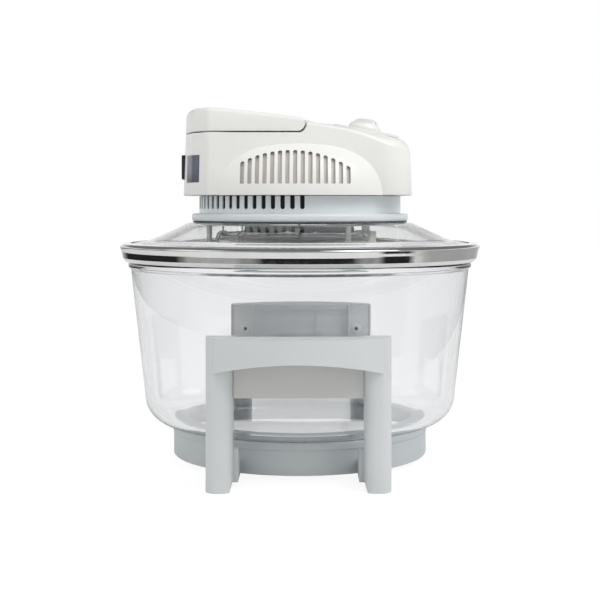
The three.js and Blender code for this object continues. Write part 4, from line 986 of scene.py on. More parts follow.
def spun_metal(name, colour):
    """Sheet metal pressed and polished in circles about the oven's axis."""
    made, tree, base = material(name, 1)
    clouded(tree, base, colour, SPUN_CLOUD)
    glossed(tree, base, SPUN_GLOSS)
    place = node(tree, "ShaderNodeTexCoord", {})
    rings = node(tree, "ShaderNodeTexWave", {"Vector": place.outputs["Object"], **SPUN_RINGS})
    rings.wave_type = "RINGS"
    rings.rings_direction = "Z"
    bumped(tree, base, rings.outputs["Fac"], SPUN_DEPTH)
    return made


def heat_stained(name, colour, stain):
    """Blackened steel with straw and brown stains from the heat."""
    made, tree, base = material(name, STAIN_METALLIC)
    stops = [(STAIN_STARTS_SHARE, colour), (STAIN_ENDS_SHARE, stain)]
    colours(tree, noise(tree, *STAIN_NOISE), stops, base.inputs["Base Color"])
    glossed(tree, base, STAIN_GLOSS)
    grained(tree, base, STAIN_GRAIN)
    return made


def ceramic(name, colour):
    """Fired ceramic: mottled, dull and finely pitted."""
    made, tree, base = material(name)
    clouded(tree, base, colour, CERAMIC_CLOUD)
    glossed(tree, base, CERAMIC_GLOSS)
    grained(tree, base, CERAMIC_GRAIN)
    return made


def lens(name, colour):
    """Coloured plastic that lets some light in."""
    made, tree, base = material(name)
    clouded(tree, base, colour, LENS_CLOUD)
    glossed(tree, base, LENS_GLOSS)
    grained(tree, base, LENS_GRAIN)
    base.inputs["Transmission Weight"].default_value = LENS_CLEARNESS
    return made


# Each plastic's colour, roughness and depth of grain
IVORY = plastic("ivory_plastic", (0.825, 0.825, 0.80), 0.38, 0.006)
# Warm grey-beige of the wall behind the louvres: painted shade, darker than its white plastic
LINER_PAINTED_SHADE = plastic("liner_painted_shade_plastic", (0.60, 0.57, 0.53), 0.6, 0.01)
GREY = plastic("grey_plastic", (0.615, 0.635, 0.637), 0.36, 0.006)
COLLAR_GREY = plastic("collar_plastic", (0.725, 0.775, 0.795), 0.34, 0.006)
WARM_GREY = plastic("warm_grey_plastic", (0.56, 0.56, 0.55), 0.5, 0.008)
# The handle plate's grey made much lighter for the far plate: painted light for the light it lacks behind
# the bowl
FAR_PLATE_PAINTED_LIGHT = plastic("far_plate_painted_light_grey", (0.88, 0.89, 0.89), 0.5, 0.008)
SCREW_PALE = plastic("pale_screw_plastic", (0.93, 0.935, 0.93), 0.4, 0.006)
# The stand's grey made darker for the base ring: painted shade from the bowl above it
RING_SHADED_GREY = plastic("ring_painted_shade_plastic", (0.52, 0.555, 0.565), 0.36, 0.006)
POINTER_GREY = plastic("pointer_ink", (0.50, 0.51, 0.51), 0.5, 0.004)
BADGE_GREY = plastic("badge_plastic", (0.10, 0.105, 0.14), 0.3, 0.006)
PRINT_GREY = plastic("print_ink", (0.16, 0.17, 0.18), 0.5, 0.004)
BLACK = plastic("black_plastic", (0.016, 0.016, 0.018), 0.42, 0.01)
# Near-black of the screen behind the collar's slots: painted shade for the dark inside the collar
SHADE_BLACK = plastic("painted_shade_black_plastic", (0.004, 0.004, 0.0045), 0.8, 0.02)
RUBBER = plastic("gasket_rubber", (0.10, 0.105, 0.11), 0.65, 0.012)

# Each glass's tint, density and depth of ripple
GLASS = clear_glass("clear_glass", (0.97, 0.972, 0.975), 42.0, 0.02)
LID_GLASS = clear_glass("lid_clear_glass", (0.98, 0.98, 0.98), 14.0, 0.02)
QUARTZ = clear_glass("quartz_glass", (0.40, 0.40, 0.385), 0.0, 0.0)

# Each metal's colour, roughness from and to, size of smudges and depth of grain
POLISHED = metal("polished_steel", (0.80, 0.80, 0.79), 0.03, 0.10, 8, 0.002)
PLAIN_STEEL = metal("plain_steel", (0.40, 0.40, 0.39), 0.22, 0.38, 6, 0.01)
SCREW_STEEL = metal("screw_steel", (0.90, 0.90, 0.88), 0.25, 0.4, 2, 0.008)
BRASS = metal("brass", (0.62, 0.45, 0.18), 0.2, 0.35, 4, 0.008)
COPPER = metal("copper", (0.52, 0.27, 0.16), 0.25, 0.5, 5, 0.008)
TUNGSTEN = metal("tungsten", (0.30, 0.29, 0.28), 0.3, 0.5, 2, 0.004)

# Materials that are set by their colours alone
DARK_STEEL = heat_stained("dark_steel", (0.035, 0.035, 0.038), (0.07, 0.062, 0.055))
SPUN = spun_metal("spun_steel", (0.34, 0.34, 0.34))
CERAMIC = ceramic("lamp_ceramic", (0.78, 0.75, 0.68))
GREEN = lens("green_lens", (0.05, 0.33, 0.08))
AMBER = lens("amber_lens", (0.75, 0.22, 0.02))


# Handing pieces over

def piece(obj, name, body, look, replaced, degrees=SHARP_DEGREES):
    """Sets a form down in metres as a piece that rides a body, in place of a node or of none."""
    tidy_mesh(obj)
    obj.data.transform(Matrix.Scale(MM, 4))
    obj.name = name
    obj.data.name = name
    obj.data.materials.clear()
    obj.data.materials.append(look)
    for face in obj.data.polygons:
        face.material_index = 0
    obj.data.shade_smooth()
    obj.data.set_sharp_from_angle(angle=math.radians(degrees))
    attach(obj, body)
    if replaced:
        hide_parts(replaced)


# Base ring

BOWL_CORNER_R = BOWL_LOW_RADIUS - BOWL_CORNER
BOWL_CORNER_Z = BOWL_BOTTOM_Z + BOWL_CORNER


def bowl_skin(radius):
    """Height of the bowl's outer skin over a radius in its lower corner."""
    out = max(0.0, radius - BOWL_CORNER_R)
    return BOWL_CORNER_Z - math.sqrt(BOWL_CORNER**2 - out**2)


def foot_arm():
    inner = RING_RADIUS - RING_WALL - 2 * GAP
    outline = filleted([
        (inner, ARM_BOTTOM, 0),
        (ARM_END_Y, ARM_BOTTOM, ARM_EDGE),
        (ARM_END_Y, ARM_TOP, ARM_EDGE),
        (ARM_KNEE_Y, ARM_TOP, 6 * ARM_EDGE),
        (ARM_LOW_Y, ARM_ROOT_TOP, 6 * ARM_EDGE),
        (RING_SEAT_RADIUS - ARM_INNER_X, ARM_ROOT_TOP, 0),
        (RING_SEAT_RADIUS - ARM_INNER_X, ARM_BOTTOM, 0),
    ])
    arm = lengthwise(outline, ARM_INNER_X, LEG_OUTER_X - LEG_WALL - GAP)
    beside_leg = block(
        (0, LEG_BACK_Y - GAP, 0),
        (LEG_INNER_X + LEG_WALL + LEG_SLANT_WIDTH + GAP, LEG_FRONT_Y, ARM_TOP + OVERRUN),
    )
    arm = bevelled(cut(arm, beside_leg), ARM_EDGE)
    hub = rod(RING_RADIUS - RING_WALL / 2, (0, 0, -OVERRUN), (0, 0, ARM_TOP + OVERRUN), ROUND_STEPS)
    return cut(arm, hub)


def base_ring():
    inner = RING_RADIUS - RING_WALL
    seat = bowl_skin(RING_SEAT_RADIUS) - GAP
    ring = revolved(filleted([
        (inner, RING_BOTTOM, RING_EDGE),
        (RING_RADIUS, RING_BOTTOM, 2 * RING_EDGE),
        (RING_RADIUS, RING_BEAD_LOW, RING_EDGE),
        (RING_RADIUS + RING_BEAD_REACH, RING_BEAD_LOW + RING_BEAD_REACH, RING_EDGE),
        (RING_RADIUS + RING_BEAD_REACH, RING_BEAD_HIGH, 2 * RING_EDGE),
        (RING_RADIUS - RING_BEAD_REACH, seat, RING_EDGE),
        (RING_SEAT_RADIUS, seat, RING_EDGE),
        (RING_SEAT_RADIUS, seat - RING_SEAT_THICKNESS, RING_EDGE),
        (inner, seat - RING_SEAT_THICKNESS, 2 * RING_EDGE),
    ]))
    arm = foot_arm()
    arms = [arm, mirrored(arm)]
    arms += [turned(copied(arm), 180) for arm in arms]
    return joined(ring, *arms)


piece(base_ring(), "base_ring_shape", "stand", RING_SHADED_GREY, "base_ring")


# Stand handles

BAR_ARC = (BAR_MEETS_LEG_X**2 + (BAR_FRONT_Y - LEG_FRONT_Y) ** 2) / (2 * (BAR_FRONT_Y - LEG_FRONT_Y))
BAR_ARC_HALF = math.degrees(math.asin(BAR_MEETS_LEG_X / BAR_ARC))
ARCH_RISE = BAR_MIDDLE_BOTTOM - BAR_END_BOTTOM
ARCH_RADIUS = (BAR_MEETS_LEG_X**2 + ARCH_RISE**2) / (2 * ARCH_RISE)
ARCH_HALF = math.degrees(math.asin(BAR_MEETS_LEG_X / ARCH_RADIUS))


def bar_form():
    front = arc((0, BAR_FRONT_Y - BAR_ARC), BAR_ARC, 90 - BAR_ARC_HALF, 90 + BAR_ARC_HALF, BAR_STEPS)
    plan = [*front, (-BAR_MEETS_LEG_X, BAR_BACK_Y), (BAR_MEETS_LEG_X, BAR_BACK_Y)]
    arch = arc((0, BAR_MIDDLE_BOTTOM - ARCH_RADIUS), ARCH_RADIUS, 90 + ARCH_HALF, 90 - ARCH_HALF, BAR_STEPS)
    side = BAR_MEETS_LEG_X + OVERRUN
    face = [(-side, BAR_END_BOTTOM), *arch, (side, BAR_END_BOTTOM), (side, BAR_TOP), (-side, BAR_TOP)]
    return common(
        upright(plan, BAR_END_BOTTOM - OVERRUN, BAR_TOP + OVERRUN),
        crosswise(face, LEG_BACK_Y, BAR_FRONT_Y + OVERRUN),
    )


def leg_form(inset, back, low):
    """One leg on the +X side, with a half-round front and a slanted inner foot corner."""
    inner, outer, front = LEG_INNER_X + inset, LEG_OUTER_X - inset, LEG_FRONT_Y - inset
    radius = LEG_ROUND - inset
    plan = [
        (inner, back),
        (outer, back),
        *arc((outer - radius, front - radius), radius, 0, 90, LEG_ROUND_STEPS),
        *arc((inner + radius, front - radius), radius, 90, 180, LEG_ROUND_STEPS),
    ]
    face = [
        (inner - OVERRUN, LEG_SLANT_HEIGHT + low),
        (inner, LEG_SLANT_HEIGHT + low),
        (inner + LEG_SLANT_WIDTH, low),
        (outer + OVERRUN, low),
        (outer + OVERRUN, BAR_TOP - inset),
        (inner - OVERRUN, BAR_TOP - inset),
    ]
    return common(
        upright(plan, low, BAR_TOP - inset),
        crosswise(face, back - OVERRUN, LEG_FRONT_Y + OVERRUN),
    )


def handle_shell():
    leg = leg_form(0, LEG_BACK_Y, 0)
    shell = joined(bar_form(), mirrored(leg), leg)
    shell = bevelled(shell, LEG_EDGE, degrees=LEG_BEVEL_DEGREES)
    hollow = leg_form(LEG_WALL, LEG_BACK_Y - OVERRUN, LEG_FLOOR)
    holes = []
    for side in (1, -1):
        foot = (side * FOOT_SCREW_X, FOOT_SCREW_Y)
        holes.append(rod(FOOT_HOLE_RADIUS, (*foot, -OVERRUN), (*foot, LEG_FLOOR + OVERRUN)))
    return cut(shell, mirrored(hollow), hollow, *holes)


def handle_plate():
    """The plate behind a bar, with a raised lip and two ribs, and with a wing behind each leg."""
    back = BAR_BACK_Y - GAP
    face = back - PLATE_THICKNESS
    wing_back = LEG_BACK_Y - GAP
    wing_face = wing_back - PLATE_THICKNESS
    top = BAR_TOP - GAP
    edge = LEG_INNER_X - GAP
    root = LEG_INNER_X - OVERRUN - GAP
    middle = block((-edge, face, PLATE_BOTTOM), (edge, back, top))
    lip_face = face - PLATE_LIP_RISE
    parts = [block((-edge, lip_face, top - PLATE_LIP_HEIGHT), (edge, back - GAP, top))]
    for side in (1, -1):
        for inner, outer, near, far in (
            (LEG_INNER_X - OVERRUN - PLATE_LIP_WIDTH, edge, lip_face, back - GAP),
            (root, LEG_OUTER_X - LEG_WALL - GAP, wing_face, wing_back),
            (root, edge, wing_face, back),
        ):
            low, high = sorted((side * inner, side * outer))
            parts.append(block((low, near, PLATE_BOTTOM), (high, far, top)))
        low, high = side * PLATE_RIB_X - PLATE_RIB_WIDTH / 2, side * PLATE_RIB_X + PLATE_RIB_WIDTH / 2
        parts.append(block((low, face - PLATE_RIB_HEIGHT, PLATE_BOTTOM), (high, back - GAP, top)))
    return bevelled(joined(middle, *parts), PLATE_EDGE, THIN_BEVEL_STEPS)


SCREW_SEAT_Y = LEG_BACK_Y - 2 * GAP - PLATE_THICKNESS
SCREW_RECESS_Y = SCREW_SEAT_Y - STAND_SCREW_HEIGHT + CROSS_DEPTH


def screw_rod(x, radius, start, end, edge=0.0):
    return rod(radius, (x, start, STAND_SCREW_Z), (x, end, STAND_SCREW_Z), edge=edge)


def stand_screw(x):
    """A pan head with a round recess and a cross."""
    top = SCREW_SEAT_Y - STAND_SCREW_HEIGHT
    head = screw_rod(x, STAND_SCREW_RADIUS, SCREW_SEAT_Y, top, STAND_SCREW_ROUND)
    arms = []
    for across, up in ((CROSS_LENGTH, CROSS_WIDTH), (CROSS_WIDTH, CROSS_LENGTH)):
        arms.append(block(
            (x - across / 2, top - OVERRUN, STAND_SCREW_Z - up / 2),
            (x + across / 2, SCREW_RECESS_Y, STAND_SCREW_Z + up / 2),
        ))
    return cut(head, *arms, screw_rod(x, RECESS_RADIUS, top - OVERRUN, SCREW_RECESS_Y))


def painted_recess_shade(x):
    """A black disc at the floor of a stand screw's recess: painted shade in the recess."""
    bottom = SCREW_RECESS_Y - TINY
    return screw_rod(x, RECESS_RADIUS - TINY, bottom, bottom - RECESS_FLOOR)


# The far plate wears a lighter copy of the near plate's grey: painted light
for side, turn, plate_look in (("left", 0, FAR_PLATE_PAINTED_LIGHT), ("right", 180, WARM_GREY)):
    shell = turned(handle_shell(), turn)
    piece(shell, f"handle_shape_{side}", "stand", GREY, f"handle_shell_{side}")
    plate = turned(handle_plate(), turn)
    piece(plate, f"plate_shape_{side}", "stand", plate_look, f"handle_plate_{side}")
    for end, sign in (("front", 1), ("rear", -1)):
        x = STAND_SCREW_X * (sign if turn == 0 else -sign)
        name = f"{side}_{end}"
        screw = turned(stand_screw(x), turn)
        piece(screw, f"screw_shape_{name}", "stand", SCREW_PALE, f"stand_screw_{name}")
        # A black disc in each screw's recess: painted shade
        recess_shade = turned(painted_recess_shade(x), turn)
        piece(recess_shade, f"painted_recess_shade_{name}", "stand", BLACK, None)


# Glass bowl

def glass_bowl():
    low = BOWL_RIM_Z - BOWL_BEAD_HEIGHT
    centre = (BOWL_CORNER_R, BOWL_CORNER_Z)
    corner = arc(centre, BOWL_CORNER, -90, 0, BOWL_CORNER_STEPS)
    inner = arc(centre, BOWL_CORNER - BOWL_THICKNESS, 0, -90, BOWL_CORNER_STEPS)
    rim = filleted([
        (BOWL_LOW_RADIUS, BOWL_CORNER_Z, 0),
        (BOWL_TOP_RADIUS, low - BEAD_FOOT_DROP, BEAD_FOOT_ROUND),
        (BOWL_BEAD_RADIUS, low + BEAD_FOOT_RISE, BEAD_ROUND),
        (BOWL_BEAD_RADIUS, BOWL_RIM_Z, BEAD_ROUND),
        (BOWL_TOP_RADIUS - BOWL_THICKNESS, BOWL_RIM_Z, BEAD_ROUND),
        (BOWL_LOW_RADIUS - BOWL_THICKNESS, BOWL_CORNER_Z, 0),
    ])
    floor_z = BOWL_BOTTOM_Z + BOWL_THICKNESS
    return revolved([(0, BOWL_BOTTOM_Z), *corner, *rim[1:-1], *inner, (0, floor_z)])


piece(glass_bowl(), "bowl_shape", "bowl", GLASS, "glass_bowl", GLASS_SHARP_DEGREES)


# Glass lid and its polished band

def lid_glass():
    skirt = LID_EDGE_RADIUS - LID_SKIRT_THICKNESS
    under = LID_THICKNESS
    return revolved(filleted([
        (LID_HOLE_RADIUS, LID_NECK_Z - under, LID_HOLE_ROUND),
        (LID_HOLE_RADIUS, LID_NECK_Z, LID_HOLE_EDGE),
        (LID_NECK_RADIUS, LID_NECK_Z, LID_BEND),
        (LID_FOOT_RADIUS, LID_FOOT_Z, LID_BEND * 3),
        (LID_EDGE_RADIUS, LID_EDGE_Z, LID_ROUND),
        (LID_EDGE_RADIUS - LID_SKIRT_TAPER, LID_SKIRT_Z, LID_ROUND / 2),
        (skirt - LID_SKIRT_TAPER, LID_SKIRT_Z, LID_ROUND),
        (skirt, LID_EDGE_Z - under - LID_EDGE_EXTRA, LID_ROUND),
        (LID_FOOT_RADIUS - LID_BEND_INSET, LID_FOOT_Z - under, LID_BEND * 2),
        (LID_NECK_RADIUS - LID_BEND_INSET, LID_NECK_Z - under, LID_BEND),
    ]))


def rim_band():
    wall = BAND_THICKNESS
    share = (BAND_TOP_INNER - LID_FOOT_RADIUS) / (LID_EDGE_RADIUS - LID_FOOT_RADIUS)
    lid_z = LID_FOOT_Z + (LID_EDGE_Z - LID_FOOT_Z) * share
    top = lid_z + GAP + wall
    low = BOWL_RIM_Z + GAP
    inner_shoulder = BAND_TIP_RADIUS - BAND_INNER_SHOULDER_WIDTH
    return revolved(filleted([
        (BAND_TOP_INNER, top - wall, BAND_LIP_EDGE),
        (BAND_TOP_INNER, top, BAND_LIP_ROUND),
        (BAND_TIP_RADIUS - BAND_SHOULDER_WIDTH, BAND_TIP_Z + BAND_SHOULDER_RISE, BAND_SHOULDER_ROUND),
        (BAND_TIP_RADIUS, BAND_TIP_Z, BAND_ROUND),
        (BAND_WAIST_RADIUS, BAND_WAIST_Z, BAND_WAIST_ROUND),
        (BAND_LOW_RADIUS, BAND_LOW_Z, BAND_LOW_ROUND),
        (BAND_FOOT_RADIUS, low, BAND_LOW_ROUND),
        (BAND_BOTTOM_INNER, low, BAND_LIP_ROUND),
        (BAND_BOTTOM_INNER, low + wall, BAND_LIP_EDGE),
        (BAND_FOOT_RADIUS - wall, low + wall, BAND_INNER_FOOT_ROUND),
        (BAND_LOW_RADIUS - wall, BAND_LOW_Z, BAND_INNER_ROUND),
        (BAND_WAIST_RADIUS - wall, BAND_WAIST_Z, BAND_INNER_WAIST_ROUND),
        (BAND_TIP_RADIUS - BAND_TIP_WALL, BAND_TIP_Z, BAND_INNER_ROUND),
        (inner_shoulder, BAND_TIP_Z + BAND_INNER_SHOULDER_RISE, BAND_INNER_SHOULDER_ROUND),
    ]), ROUND_STEPS * 2)


piece(lid_glass(), "lid_shape", "lid", LID_GLASS, "lid_glass", GLASS_SHARP_DEGREES)
piece(rim_band(), "band_shape", "lid", POLISHED, "rim_band", GLASS_SHARP_DEGREES)


# Gasket, flange and slotted collar

def flange_gasket():
    top = GASKET_Z + GASKET_THICKNESS
    return revolved(rectangle((GASKET_INNER, GASKET_Z), (GASKET_OUTER, top), GASKET_EDGE))


def collar_slots():
    half = SLOT_WIDTH / 2
    outline = [
        *arc((0, SLOT_BOTTOM_Z + half), half, 180, 360, SLOT_STEPS),
        (half, COLLAR_TOP_Z + OVERRUN),
        (-half, COLLAR_TOP_Z + OVERRUN),
    ]
    cutter = crosswise(outline, COLLAR_RADIUS - COLLAR_WALL - OVERRUN, COLLAR_RADIUS + OVERRUN)
    slots = []
    for i in range(SLOT_PAIRS):
        for side in (1, -1):
            slots.append(turned(copied(cutter), 90 + side * SLOT_PITCH * (i + 0.5)))
    remove(cutter)
    return gathered(slots)


def lid_collar():
    inner = COLLAR_RADIUS - COLLAR_WALL
    floor_z = FLANGE_BOTTOM_Z + FLANGE_FLOOR
    ring = revolved(filleted([
        (FLANGE_INNER, FLANGE_BOTTOM_Z, FLANGE_INNER_EDGE),
        (FLANGE_RADIUS, FLANGE_BOTTOM_Z, FLANGE_EDGE),
        (FLANGE_RADIUS, FLANGE_TOP_Z, FLANGE_EDGE),
        (COLLAR_RADIUS, FLANGE_TOP_Z, COLLAR_FOOT_ROUND),
        (COLLAR_RADIUS, COLLAR_TOP_Z, COLLAR_TOP_EDGE),
        (inner, COLLAR_TOP_Z, COLLAR_TOP_EDGE),
        (inner, floor_z, COLLAR_FOOT_ROUND),
        (FLANGE_INNER, floor_z, FLANGE_INNER_EDGE),
    ]))
    return cut(ring, collar_slots())


def collar_shade_screen():
    """A thin near-black wall close behind the collar's slots, a dark sheet that stands in for painted shade
    inside the collar.
    """
    outer = COLLAR_RADIUS - COLLAR_WALL - SCREEN_GAP
    return revolved(rectangle(
        (outer - SCREEN_THICKNESS, FLANGE_BOTTOM_Z + FLANGE_FLOOR + GAP),
        (outer, COLLAR_TOP_Z),
        GAP,
    ))


piece(flange_gasket(), "gasket_shape", "lid", RUBBER, "flange_gasket")
piece(lid_collar(), "collar_shape", "lid", COLLAR_GREY, "lid_collar")
piece(collar_shade_screen(), "collar_shade_screen", "lid", SHADE_BLACK, None)


# Head housing

def head_plan(inset=0.0):
    """The head's outline, anticlockwise: bowed rear, chamfered rear corners, rounded front corners."""
    half = HEAD_HALF - inset
    front = HEAD_FRONT_X - inset
    rear = HEAD_REAR_X + inset
    depth = HEAD_CHAMFER_X - HEAD_REAR_X
    corner = HEAD_FRONT_CORNER - inset
    bow = []
    for i in range(1, HEAD_BOW_STEPS):
        share = 1 - 2 * i / HEAD_BOW_STEPS
        bow.append((rear + depth * share**2, HEAD_CHAMFER_Y * share, 0))
    corners = [
        (HEAD_CHAMFER_X + inset, HEAD_CHAMFER_Y, HEAD_CHAMFER_ROUND),
        *bow,
        (HEAD_CHAMFER_X + inset, -HEAD_CHAMFER_Y, HEAD_CHAMFER_ROUND),
        (HEAD_SIDE_X, -half, HEAD_CHAMFER_ROUND),
    ]
    corners += [(front, -half, 0), (front, half, 0), (HEAD_SIDE_X, half, HEAD_CHAMFER_ROUND)]
    outline = [p for p in filleted(corners) if p[0] < front - TINY]
    place = next(i for i, p in enumerate(outline) if p[1] > 0 and outline[i - 1][1] < -half + TINY)
    rounded = arc((front - corner, -half + corner), corner, -90, 0, HEAD_FRONT_STEPS)
    rounded += arc((front - corner, half - corner), corner, 0, 90, HEAD_FRONT_STEPS)
    return divided([*outline[:place], *rounded, *outline[place:]], PLAN_SPACING)


def leaned(obj):
    """Leans the head's front and rear inwards with height."""
    for vertex in obj.data.vertices:
        rise = (vertex.co.z - HEAD_BOTTOM_Z) / HEAD_LEAN_HEIGHT
        if vertex.co.x > HEAD_LEAN_START:
            share = (vertex.co.x - HEAD_LEAN_START) / (HEAD_FRONT_X - HEAD_LEAN_START)
            vertex.co.x -= HEAD_FRONT_LEAN * rise * share
        elif vertex.co.x < -HEAD_LEAN_START:
            share = (-HEAD_LEAN_START - vertex.co.x) / (-HEAD_LEAN_START - HEAD_REAR_X)
            vertex.co.x += HEAD_REAR_LEAN * rise * share
    return obj


def nose_roof(x, y, drop=0.0):
    top = smooth_line(NOSE_X, NOSE_TOP, x)
    shoulder = smooth_line(NOSE_X, NOSE_SHOULDER, x)
    out = min(1.0, abs(y) / HEAD_HALF)
    return top - (top - shoulder) * out**NOSE_CROWN_POWER - drop


def nose_edge(x):
    return smooth_line(NOSE_EDGE_X, NOSE_EDGE, x)


def head_body(low, roof, edge):
    """A body over the head's plan, leaned like the head."""
    return leaned(crowned_body(head_plan(), low, roof, edge, ROOF_CENTRE_X, HEAD_FOOT_EDGE))


def rear_form():
    """The head's low rear, which the carry handle folds down on."""
    made = head_body(HEAD_BOTTOM_Z, lambda x, y: PARTING_Z, lambda x: PARTING_EDGE)
    reach = HEAD_HALF + OVERRUN
    nose = block(
        (NOSE_X[1] + OVERRUN, -reach, HEAD_BOTTOM_Z - OVERRUN),
        (HEAD_FRONT_X + OVERRUN, reach, PARTING_Z + OVERRUN),
    )
    return cut(made, nose)


def handle_roof(x, y):
    out = min(1.0, abs(y) / HEAD_HALF)
    return smooth_line(HANDLE_X, HANDLE_TOP, x) - HANDLE_CROWN * out**2


ISLAND_HALF = HEAD_HALF - HANDLE_ARM_WIDTH - ISLAND_GAP


def island():
    """The raised middle of the head between the carry handle's arms."""
    outline = rectangle((ISLAND_REAR_X, -ISLAND_HALF), (ISLAND_FRONT_X, ISLAND_HALF), ISLAND_CORNER)
    return crowned_body(
        divided(outline, PLAN_SPACING),
        PARTING_Z - 2 * OVERRUN,
        lambda x, y: smooth_line(ISLAND_X, ISLAND_TOP, x) + 2 * GAP * (1 - (y / HEAD_HALF) ** 2),
        lambda x: ISLAND_EDGE if x < 0 else GAP,
        (ISLAND_REAR_X + ISLAND_FRONT_X) / 2,
    )


BULGE_FAR = BULGE_CORE + BULGE_REACH + OVERRUN


def bulge_outline(inset):
    """The round side of the dome that both louvre bulges are cut from."""
    points = []
    for i in range(BULGE_STEPS + 1):
        angle = math.pi / 2 * i / BULGE_STEPS
        points.append((
            BULGE_CORE + (BULGE_REACH - inset) * math.cos(angle),
            HEAD_BOTTOM_Z + (BULGE_HEIGHT - inset) * math.sin(angle),
        ))
    return points


def bulge_dome(inset, steps):
    top = HEAD_BOTTOM_Z + BULGE_HEIGHT - inset
    return revolved([(0, HEAD_BOTTOM_Z), *bulge_outline(inset), (0, top)], steps)


def off_sides(obj, half):
    """Leaves only what stands outside the head's flat sides."""
    low = HEAD_BOTTOM_Z - 2 * OVERRUN
    return cut(obj, block((-BULGE_FAR, -half, low), (BULGE_FAR, half, PARTING_Z + OVERRUN)))


def above(obj, height):
    """Leaves only what stands higher than a height over the head's bottom."""
    reach = 2 * BULGE_CORE
    low = HEAD_BOTTOM_Z - OVERRUN
    return cut(obj, block((-reach, -reach, low), (reach, reach, HEAD_BOTTOM_Z + height)))


def louvre_arch(x):
    sideways = x - LOUVRE_ARCH_X
    return LOUVRE_PEAK_Z - LOUVRE_ARCH_RADIUS + math.sqrt(LOUVRE_ARCH_RADIUS**2 - sideways**2)


def louvre_cutters():
    near = BULGE_INNER_Y - 2 * OVERRUN
    top_round = LOUVRE_WIDTH * LOUVRE_TOP_ROUND_SHARE
    slots = []
    for i in range(LOUVRE_COUNT):
        middle = LOUVRE_FIRST_X + i * LOUVRE_PITCH
        low, high = middle - LOUVRE_WIDTH / 2, middle + LOUVRE_WIDTH / 2
        outline = filleted([
            (low, LOUVRE_BOTTOM_Z, LOUVRE_FOOT_ROUND),
            (high, LOUVRE_BOTTOM_Z, LOUVRE_FOOT_ROUND),
            (high, louvre_arch(high), top_round),
            (low, louvre_arch(low), top_round),
        ])
        slots.append(crosswise(outline, near, BULGE_FAR))
        slots.append(crosswise(outline, -BULGE_FAR, -near))
    return gathered(slots)


def louvre_liners():
    """A thin curved wall close behind the louvres, on both sides, coloured warm grey-beige as painted shade
    for the dim inside.
    """
    outer = bulge_outline(LINER_INSET)
    inner = bulge_outline(LINER_INSET + LINER_THICKNESS)
    shell = revolved([*outer, *reversed(inner)])
    return above(off_sides(shell, BULGE_INNER_Y - OVERRUN), HEAD_FLOOR + GAP)


PANEL_SLOPE = math.atan2(PANEL_REAR_Z - PANEL_FRONT_Z, PANEL_FRONT_X - PANEL_REAR_X)
PANEL_LENGTH = math.hypot(PANEL_REAR_Z - PANEL_FRONT_Z, PANEL_FRONT_X - PANEL_REAR_X)
ON_PANEL = Matrix.Translation((PANEL_REAR_X, 0, PANEL_REAR_Z)) @ Matrix.Rotation(PANEL_SLOPE, 4, "Y")


def panel_outline(inset):
    return rectangle(
        (inset, -PANEL_HALF + inset),
        (PANEL_LENGTH - inset, PANEL_HALF - inset),
        PANEL_CORNER - inset,
    )


def arm_cuts():
    """What the carry handle's arms take from the head, with a groove round their ends."""
    far = HEAD_HALF + OVERRUN
    top = PIVOT_Z + 3 * HANDLE_END_RADIUS
    tools = []
    for side in (1, -1):
        low, high = sorted((side * ISLAND_HALF, side * far))
        ends = [(PIVOT_X, y, PIVOT_Z) for y in (low, high)]
        tools.append(rod(HANDLE_END_RADIUS + HANDLE_GROOVE, *ends, MEDIUM_STEPS))
    tools.append(block((HEAD_REAR_X - OVERRUN, -far, PARTING_Z), (PIVOT_X, far, top)))
    return tools


def head_cavity():
    def roof(x, y):
        return min(nose_roof(x, y, HEAD_WALL + PANEL_FLOOR), PARTING_Z - HEAD_WALL)

    return leaned(crowned_body(
        head_plan(HEAD_WALL),
        HEAD_BOTTOM_Z + HEAD_FLOOR,
        roof,
        lambda x: GAP,
        ROOF_CENTRE_X,
    ))


def inlet_block(width, height, start, end):
    """A block round the mains inlet's axis, a gap wider and higher than a piece that it makes room for."""
    half_y, half_z = width / 2 + GAP, height / 2 + GAP
    return block((start, -half_y, INLET_Z - half_z), (end, half_y, INLET_Z + half_z))


def inlet_pocket():
    pad_end = INLET_FACE_X + INLET_FLANGE + GAP
    return [
        inlet_block(INLET_FLANGE_WIDTH, INLET_FLANGE_HEIGHT, HEAD_REAR_X - 2 * OVERRUN, pad_end),
        inlet_block(INLET_BODY_WIDTH, INLET_BODY_HEIGHT, INLET_FACE_X, INLET_FACE_X + INLET_BODY_DEPTH),
    ]


def head_housing():
    """The head: nose, low rear, island and louvre bulges, hollowed out and opened."""
    body = cut(head_body(HEAD_BOTTOM_Z, nose_roof, nose_edge), *arm_cuts())
    bulges = off_sides(bulge_dome(0, 2 * ROUND_STEPS), BULGE_INNER_Y)
    body = joined(body, rear_form(), island(), bulges)
    inner_dome = above(bulge_dome(HEAD_WALL, ROUND_STEPS), HEAD_FLOOR)
    low, high = HEAD_BOTTOM_Z - OVERRUN, HEAD_BOTTOM_Z + HEAD_FLOOR + OVERRUN
    hole = rod(HEAD_HOLE, (0, 0, low), (0, 0, high), ROUND_STEPS)
    pocket = moved(upright(panel_outline(0), -PANEL_SINK, 8 * OVERRUN), ON_PANEL)
    return cut(body, head_cavity(), inner_dome, hole, pocket, louvre_cutters(), *inlet_pocket())


piece(head_housing(), "head_shape", "lid", IVORY, "head_housing")
piece(louvre_liners(), "louvre_liners", "lid", LINER_PAINTED_SHADE, None)


# Carry handle

